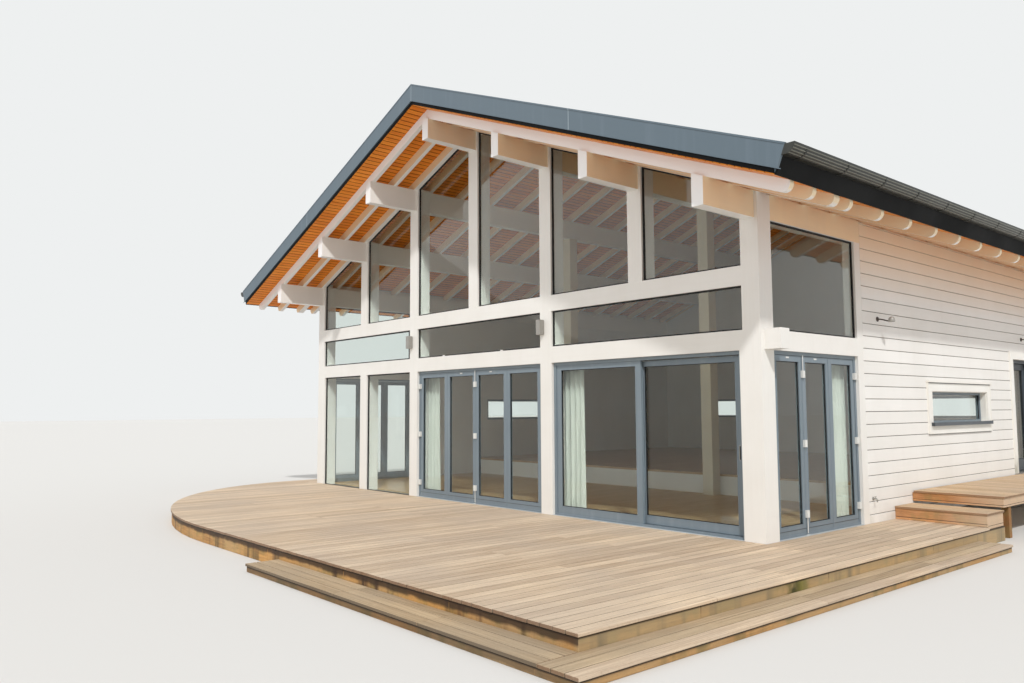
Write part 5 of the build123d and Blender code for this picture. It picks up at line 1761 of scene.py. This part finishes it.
    def skirts(self) -> None:
        """Skirt boards along the edge, set inwards by their thickness square to their line, and bearers."""
        start, end = self.skirt_line()
        along = (end - start) / np.linalg.norm(end - start, axis=1, keepdims=True)
        inwards = np.stack([along[:, 1], -along[:, 0]], 1) * self.skirt
        start, end = start + along * 0.0025, end - along * 0.0025
        under = DECK_TOP - self.thick
        flat = np.stack([start, end, start + inwards, end + inwards], 1)
        low = np.concatenate([flat, np.zeros((len(flat), 4, 1))], 2)
        high = np.concatenate([flat, np.full((len(flat), 4, 1), under)], 2)
        pile = Pile().blocks(np.concatenate([low, high], 1), shades(len(flat), 31))
        pile.piece("deck_skirt_boards", SKIRT, bevel=0.0025, replaces=["deck_frames"])
        y = np.array([*self.bearers, 1.4, 1.4])
        reach = self.centre - (self.reach - 0.06) * np.sqrt(1 - (y[:3] / (self.front + 0.05)) ** 2)
        low = columns([*reach, HALF_HOUSE + 0.002, -6.33], y, 0.0)
        high = columns([6.71, 6.71, 6.71, 6.71, -HALF_HOUSE - 0.002], y + self.bearer, under - HAIR)
        Pile().blocks(boxes(low, high)).piece("deck_bearers", UNDER_DECK)

    def rows(self, start: float, end: float, number: int) -> Array:
        """Start and end of equally wide boards with gaps between them."""
        lines = np.linspace(start, end, number + 1)
        return np.stack([lines[:-1] + self.gap / 2, lines[1:] - self.gap / 2], 1)

    def own_shade(self, x: float, y: float) -> float:
        """A fixed shade for the board that starts at x and y."""
        return shades(1, int(1e4 * (x + y + 9)))[0]

    def lower_step(self) -> None:
        """The low step: boards along the front, boards along the right side past the corner, and risers."""
        y0, x1 = self.low_front, self.low_right
        z0, z1 = self.low_height
        pile = Pile()
        stops = (1.9, 3.9, 5.3, 6.737)
        for a, b in self.rows(y0, -4.315, 3):
            for x, after in zip(stops, stops[1:]):
                pile.blocks(boxes([[x, a, z0]], [[after - 0.002, b, z1]]), self.own_shade(x, a))
        pile.piece("front_step_boards", STEP_BOARDS, replaces=["deck_steps"], bevel=0.003)
        side, outer = Pile(), Pile()
        stops = (y0, -1.6, 0.9, 2.9)
        for row, (a, b) in zip((side, side, outer), self.rows(6.74, x1, 3)):
            for y, after in zip(stops, stops[1:]):
                row.blocks(boxes([[a, y, z0]], [[b, after - 0.002, z1]]), self.own_shade(a, y))
        side.piece("side_step_boards", SIDE_STEP_BOARDS, bevel=0.003)
        outer.piece("side_step_nosing", DECK_NOSING, bevel=0.003)
        low = [[1.915, y0 + 0.015, 0], [6.7, y0 + 0.015, 0], [x1 - 0.04, y0 + 0.04, 0], [6.742, 2.86, 0],
               [1.915, y0 + 0.04, 0]]
        high = [[6.699, y0 + 0.04, z0], [x1 - 0.015, y0 + 0.04, z0], [x1 - 0.015, 2.885, z0],
                [x1 - 0.0405, 2.885, z0], [1.94, -4.317, z0]]
        Pile().blocks(boxes(low, high), shades(5, 41)).piece("low_step_risers", SKIRT_LOW, bevel=0.002)

    def side_steps(self) -> None:
        """The step and the deck at the entrance: boards across, orange risers and posts."""
        wall, outer = HALF_HOUSE + 0.001, self.right - self.nose
        inner = outer - self.skirt
        step, deck = self.rows(self.step_front, 3.835, 4), self.rows(self.side_deck, self.side_end, 48)
        (low, high), (side_low, side_high) = self.step_height, self.side_height
        treads = np.concatenate([
            boxes(columns(wall + 0.002, step[:, 0], low), columns(outer, step[:, 1], high)),
            boxes(columns(wall + 0.022, deck[:, 0], side_low), columns(self.right, deck[:, 1], side_high))])
        tones = shades(52, 52)
        first = np.isin(np.arange(52), (0, 4))
        Pile().blocks(treads[~first], tones[~first]).piece("side_deck_boards", CROSS_DECKING, bevel=0.003,
                                                           replaces=["side_deck"])
        Pile().blocks(treads[first], tones[first]).piece("side_deck_nosings", CROSS_NOSING, bevel=0.003)
        front, rear = self.side_deck + self.nose, self.side_end - self.nose
        foot, head = self.riser_height
        low = np.array([[wall, 3.265, DECK_TOP + 0.001], [outer - 0.04, 3.292, DECK_TOP - 0.027],
                        [wall, front, foot], [inner, front, foot],
                        [wall, rear - self.skirt, foot], [inner, 7.2, foot]])
        high = np.array([[outer - 0.015, 3.29, 0.3715], [outer - 0.015, self.side_deck, 0.3715],
                         [inner - 0.001, front + self.skirt, head], [outer, 7.198, head],
                         [inner - 0.001, rear, head], [outer, rear, head]])
        split = low[:, 2] + (high[:, 2] - low[:, 2]) * 0.22
        under, over = high.copy(), low.copy()
        under[:, 2], over[:, 2] = split - 0.003, split + 0.003
        blocks = np.concatenate([boxes(low, under), boxes(over, high)])
        Pile().blocks(blocks, shades(12, 53)).piece("side_step_risers", STEP_RISER, bevel=0.003)
        # Dark blocks inside the risers, seen only through the gaps between riser boards: painted shade
        Pile().blocks(boxes(low + 0.004, high - 0.004)).piece("side_step_riser_gap_shade", DARK_BACKING_AND_SHADE)
        first = self.side_deck + 0.24
        starts = first + (rear - self.skirt - self.post - first) / 4 * np.arange(5)
        posts = boxes(columns(inner - self.post, starts, 0.0), columns(inner, starts + self.post, 0.551))
        joists = boxes(columns(wall + 0.001, starts + 0.02, 0.47),
                       columns(inner - 0.097, starts + 0.065, 0.551))
        Pile().blocks(np.concatenate([posts, joists]), shades(10, 54)).piece(
            "side_deck_posts", UNDER_DECK, bevel=0.003)

    def ground_mat(self) -> None:
        """The dark mat on the ground under the boards, kept in from the skirts, partly painted shade seen
        through the gaps.
        """
        turn = np.linspace(0, np.pi / 2, 25)
        reach, front, right = self.reach - 0.08, self.front + 0.08, self.right - 0.08
        curve = columns(self.centre - reach * np.sin(turn), front * np.cos(turn))
        outline = np.concatenate([curve, [[right, 0.0], [right, front]]])
        low = columns(*outline.T, 0.001)
        pile = Pile().shell(*prism(low, low + np.array([0, 0, 0.004])))
        pile.blocks(boxes([[HALF_HOUSE + 0.005, 0.001, 0.001], [-6.29, 0.001, 0.001]],
                          [[right, 3.79, 0.005], [-HALF_HOUSE - 0.005, 2.42, 0.005]]))
        pile.piece("deck_ground_mat", DARK_BACKING_AND_SHADE)

    def build(self) -> None:
        """Builds all decks and steps."""
        self.boards()
        self.screws()
        self.skirts()
        self.lower_step()
        self.side_steps()
        self.ground_mat()


@dataclass
class Floors:
    """Plank floors at deck level and on the raised part, with the riser between them."""

    plank: float = 0.14
    plank_gap: float = 0.0006
    rear: float = 11.82
    raised_front: float = 4.23
    raised_top: float = 0.595

    def planks(self, name: str, y: Span, z: Span, node: str, seed: int) -> None:
        """Lays planks along the house in staggered lengths.

        Args:
            name: the piece's name.
            y: front and rear end.
            z: underside and top.
            node: the node that the planks stand for.
            seed: picks lengths and shades.
        """
        number = int(2 * INNER_HALF / self.plank)
        lines = np.linspace(-INNER_HALF, INNER_HALF, number + 1)
        shifts = np.random.default_rng(seed).uniform(-0.4, 0.4, (number, 3))
        cuts = y[0] + (y[1] - y[0]) * (np.arange(1, 4)[None] + shifts) / 4
        lengths = laid(lines, self.plank_gap, cuts, y, z)
        Pile().blocks(lengths, shades(len(lengths), seed + 1)).piece(
            name, FLOOR_PLANKS, bevel=0.001, replaces=[node])

    def build(self) -> None:
        """Lays both floors and the riser between them."""
        self.planks("floor_planks_low", (SIDE_BAY[0], self.rear), (0.2, DECK_TOP), "living_floor", 61)
        self.planks("floor_planks_raised", (self.raised_front, self.rear), (0.555, self.raised_top),
                    "raised_floor", 63)
        riser = boxes([[-INNER_HALF, self.raised_front, DECK_TOP]],
                      [[INNER_HALF, self.raised_front + 0.06, 0.5545]])
        Pile().blocks(riser).piece("floor_riser", WHITE_PAINT_ACROSS, slot="floor_boards")


@dataclass
class Lamps:
    """Upright box lamps on two posts and shades on bent arms on the right wall."""

    posts: Span = (-1.919, 1.681)
    low: float = 2.925
    height: float = 0.23
    width: float = 0.085
    front: float = -0.095
    collar: float = 0.012
    arms: Span = (2.96, 8.675)
    arm_height: float = 3.04

    def post_lamps(self) -> None:
        """Box lamps with a back plate and a set-in lens at each end."""
        shells, lenses = Pile(), Pile()
        z0, z1 = self.low, self.low + self.height
        inside = (z0 + self.collar, z1 - self.collar)
        collar = (columns([0.0, 0.079, 0.006, 0.006], [self.front] * 3 + [-0.0115], 0.0),
                  columns([0.006, self.width, 0.079, 0.079], [-0.0055, -0.0055, -0.089, -0.0055], 0.0125))
        for x in self.posts:
            shells.blocks(boxes([[x - 0.004, -0.006, inside[0]]], [[x + 0.089, -HAIR, inside[1]]]))
            shells.blocks(Face.FRONT.ring((x, x + self.width), (self.front, -0.0055), inside, 0.03))
            shells.blocks(boxes([[x + 0.0005, -0.0945, inside[0]]], [[x + 0.0845, -0.006, inside[1]]]))
            for low in (z0, inside[1]):
                shells.blocks(boxes(*(part + np.array([x, 0, low]) for part in collar)))
                lenses.blocks(boxes([[x + 0.0065, -0.0885, low + 0.003]],
                                    [[x + 0.0785, -0.012, low + 0.0095]]))
        shells.piece("post_lamp_shells", LAMP_COAT, bevel=0.0015)
        lenses.piece("post_lamp_lenses", LENS)

    def arm_lamps(self) -> None:
        """Wall roses, bent arms and domed shades.

        The arm's path runs out level and then bends down: x grows evenly and z falls by the drop times
        a smooth step of the share of the way.
        """
        t = np.linspace(0, 1, 25)
        ease = t * t * (3 - 2 * t)
        rose = np.array([[0.020, 0.0], [0.035, 0.0005], [0.0355, 0.006], [0.033, 0.011], [0.024, 0.0145],
                         [0.01, 0.016]])
        shade = np.array([[0.030, -0.001], [0.0385, 0.0], [0.044, 0.003], [0.0448, 0.012], [0.0435, 0.03],
                          [0.0415, 0.044], [0.037, 0.056], [0.029, 0.065], [0.018, 0.0715], [0.008, 0.0745]])
        arms, shades_pile = Pile(), Pile()
        for y in self.arms:
            path = columns(HALF_HOUSE + 0.01 + 0.2 * t, y, self.arm_height - 0.045 * ease)
            arms.shell(*tube(path, 0.009, (0, 1, 0)))
            arms.shell(*turned(rose, (HALF_HOUSE, y, self.arm_height), "X", 28))
            shades_pile.shell(*turned(shade, (HALF_HOUSE + 0.205, y, 2.986), "Z", 32))
        arms.piece("arm_lamp_arms", DARK_ARM, smooth=True)
        shades_pile.piece("arm_lamp_shades", LAMP_COAT, smooth=True, replaces=["wall_lamps"])

    def build(self) -> None:
        """Builds both kinds of lamp."""
        self.post_lamps()
        self.arm_lamps()


@dataclass
class GardenTap:
    """A wall tap: rose, body, turned-down spout and a lever."""

    y: float = 2.62
    z: float = 0.55

    def build(self) -> None:
        """Turned parts and a spout whose path is a quarter of a circle and a short drop."""
        pile = Pile()
        stem = self.z + 0.0275
        rose = np.array([[0.012, 0.0], [0.024, 0.0005], [0.024, 0.005], [0.019, 0.009], [0.012, 0.011]])
        body = np.array([[0.009, 0.0], [0.0125, 0.002], [0.0125, 0.014], [0.0105, 0.016], [0.0105, 0.05],
                         [0.006, 0.053]])
        spindle = np.array([[0.005, 0.0], [0.007, 0.01], [0.0055, 0.022], [0.0085, 0.026], [0.007, 0.031]])
        lever = np.array([[0.002, -0.03], [0.0048, -0.028], [0.0036, 0.0], [0.0048, 0.028], [0.002, 0.03]])
        turn = np.linspace(0, np.pi / 2, 12)
        x = np.append(0.045 + 0.015 * np.sin(turn), 0.06)
        z = np.append(-0.015 * (1 - np.cos(turn)), -0.045)
        pile.shell(*turned(rose, (HALF_HOUSE, self.y, self.z), "X", 24))
        pile.shell(*turned(body, (HALF_HOUSE + 0.004, self.y, self.z), "X", 24))
        pile.shell(*tube(columns(HALF_HOUSE + x, self.y, self.z + z), 0.0095, (0, 1, 0)))
        pile.shell(*turned(spindle, (HALF_HOUSE + 0.035, self.y, self.z), "Z", 20))
        pile.shell(*turned(lever, (HALF_HOUSE + 0.035, self.y, stem), "Y", 16))
        pile.piece("tap_turned_parts", BRIGHT_METAL, smooth=True, replaces=["garden_tap"])


@dataclass
class Curtains:
    """Gathered curtains that hang from rails behind the doors' heads."""

    top: float = 2.5
    foot: float = 0.235
    rail: float = 0.022
    pleat: float = 0.1
    swing: float = 0.036

    def rails(self) -> None:
        """Slim rails under the transoms."""
        rows = boxes(columns([-1.66, 1.94, 5.283], [0.2, 0.2, 0.3], self.top),
                     columns([1.66, 5.2, INNER_HALF], [0.262, 0.262, 2.34], self.top + self.rail))
        Pile().blocks(rows).piece("curtain_rails", HINGE_COAT, bevel=0.002, slot="white_timber")

    def curtain(self, name: str, face: Face, start: float, end: float, depth: float) -> None:
        """Hangs one curtain.

        The cloth is a surface of the share u across and v down. Its run goes evenly from start to end,
        and its depth swings as a sine of the pleats, whose size grows a little towards the foot and
        whose phase drifts slowly.

        Args:
            name: the piece's name.
            face: the wall it hangs behind.
            start: where it starts along the wall.
            end: where it ends.
            depth: how far in from the wall's face it hangs.
        """
        u, v = np.meshgrid(np.linspace(0, 1, 241), np.linspace(0, 1, 25))
        pleats = (end - start) / self.pleat
        size = self.swing * (0.72 + 0.28 * v) * (0.85 + 0.15 * np.sin(5.1 * u + 1.0))
        wave = np.sin(2 * np.pi * pleats * u + 0.5 * np.sin(3.3 * v + 4 * u))
        run = start + (end - start) * u + 0.006 * np.sin(4 * np.pi * pleats * u) * v
        points = face.place(run, depth + size * wave, self.top + (self.foot - self.top) * v).reshape(-1, 3)
        down, across = u.shape
        first = (np.arange(down - 1)[:, None] * across + np.arange(across - 1)).reshape(-1)
        quads = np.stack([first, first + 1, first + across + 1, first + across], 1)
        made = Pile().add(points, [quads]).piece(name, CURTAIN, smooth=True)
        layer = made.data.uv_layers.new(name="UVMap")
        corners = np.empty(len(made.data.loops), int)
        made.data.loops.foreach_get("vertex_index", corners)
        steps = np.linalg.norm(np.diff(points.reshape(down, across, 3), axis=1), axis=2).sum(1).mean()
        flat = np.stack([u.reshape(-1) * steps, v.reshape(-1) * (self.top - self.foot)], 1)
        layer.data.foreach_set("uv", flat[corners].astype(np.float32).reshape(-1))
        wall = made.modifiers.new("cloth", "SOLIDIFY")
        wall.thickness = 0.0012
        LOG.info("%s: flat width %.2f m", name, steps)

    def build(self) -> None:
        """Hangs the rails and the curtains."""
        self.rails()
        self.curtain("curtain_middle_left", Face.FRONT, -1.66, -1.26, 0.232)
        self.curtain("curtain_sliding_left", Face.FRONT, 1.95, 2.37, 0.232)
        self.curtain("curtain_side_rear", Face.RIGHT, 2.02, 2.32, 0.212)


@dataclass
class Studio:
    """Pale floor, plain soft light and the camera at the photograph's angle."""

    place: tuple[float, float, float] = (10.948, -8.531, 1.799)
    yaw: float = 49.356
    pitch: float = 4.685
    roll: float = -0.292
    lens: float = 28.871
    backdrop: str = "eef0f0"

    def camera(self) -> None:
        """Looks along the yaw, left of +Y, and the pitch, upwards, rolled about that line."""
        yaw, pitch, roll = (math.radians(v) for v in (self.yaw, self.pitch, self.roll))
        ahead = np.array([-math.sin(yaw) * math.cos(pitch), math.cos(yaw) * math.cos(pitch), math.sin(pitch)])
        right = np.array([math.cos(yaw), math.sin(yaw), 0.0])
        up = np.cross(right, ahead)
        rolled = math.cos(roll) * right + math.sin(roll) * up
        up = math.cos(roll) * up - math.sin(roll) * right
        data = bpy.data.cameras.new("camera")
        data.lens = self.lens
        data.sensor_width = 36.0
        data.clip_end = 500.0
        camera = bpy.data.objects.new("camera", data)
        turn = np.eye(4)
        turn[:3, 0], turn[:3, 1], turn[:3, 2], turn[:3, 3] = rolled, up, -ahead, self.place
        camera.matrix_world = Matrix(turn.tolist())
        bpy.context.scene.collection.objects.link(camera)
        bpy.context.scene.camera = camera

    def world(self) -> None:
        """An even sky of plain strength, shown as the backdrop's colour."""
        world = bpy.data.worlds.new("studio")
        bpy.context.scene.world = world
        world.use_nodes = True
        graph = Graph(world.node_tree)
        light = world.node_tree.nodes["Background"]
        light.inputs["Color"].default_value = (0.97, 0.985, 1.0, 1.0)
        light.inputs["Strength"].default_value = 0.66
        shown = graph.add("Background", {"Color": srgb(self.backdrop), "Strength": 1.0})
        path = graph.add("LightPath").outputs
        seen = graph.math("MAXIMUM", path["Is Camera Ray"], path["Is Glossy Ray"])
        seen = graph.math("MAXIMUM", seen, path["Is Transmission Ray"])
        pick = graph.add("MixShader", {0: seen, 1: light.outputs[0], 2: shown.outputs[0]})
        graph.feed(world.node_tree.nodes["World Output"].inputs["Surface"], pick.outputs[0])

    def lamps(self) -> None:
        """Two wide, soft lamps: the main one from the front right and a weak one from the left."""
        for name, strength, turn, spread in (("key", 2.3, (46, 0, 51), 2.5),
                                             ("fill", 0.35, (62, 0, -35), 50)):
            data = bpy.data.lights.new(name, "SUN")
            data.energy = strength
            data.angle = math.radians(spread)
            lamp = bpy.data.objects.new(name, data)
            lamp.rotation_euler = [math.radians(v) for v in turn]
            bpy.context.scene.collection.objects.link(lamp)

    def floor(self) -> None:
        """A wide pale floor that keeps the shadow."""
        reach = 160.0
        mesh = bpy.data.meshes.new("studio_floor")
        mesh.from_pydata([(-reach, -reach, 0), (reach, -reach, 0), (reach, reach, 0), (-reach, reach, 0)], [],
                         [(0, 1, 2, 3)])
        mesh.materials.append(Finish("studio_floor_finish", "d9d7d3", 0.9).material())
        floor = bpy.data.objects.new("studio_floor", mesh)
        floor.location.z = -0.002
        bpy.context.scene.collection.objects.link(floor)

    def build(self) -> None:
        """Sets the stage."""
        self.camera()
        self.world()
        self.lamps()
        self.floor()
        bpy.context.scene.view_settings.view_transform = "Standard"


def main() -> None:
    """Builds every part of the house in order."""
    logging.basicConfig(level=logging.INFO, format="%(name)s: %(message)s")
    parts = (Studio(), TimberFrame(), Cladding(), Roof(), Glazing(), Doors(), RibbonWindows(), Entrance(),
             Deck(), Floors(), Lamps(), GardenTap(), Curtains())
    for part in parts:
        part.build()
        LOG.info("%s is built", type(part).__name__)


if __name__ == "__main__":
    main()
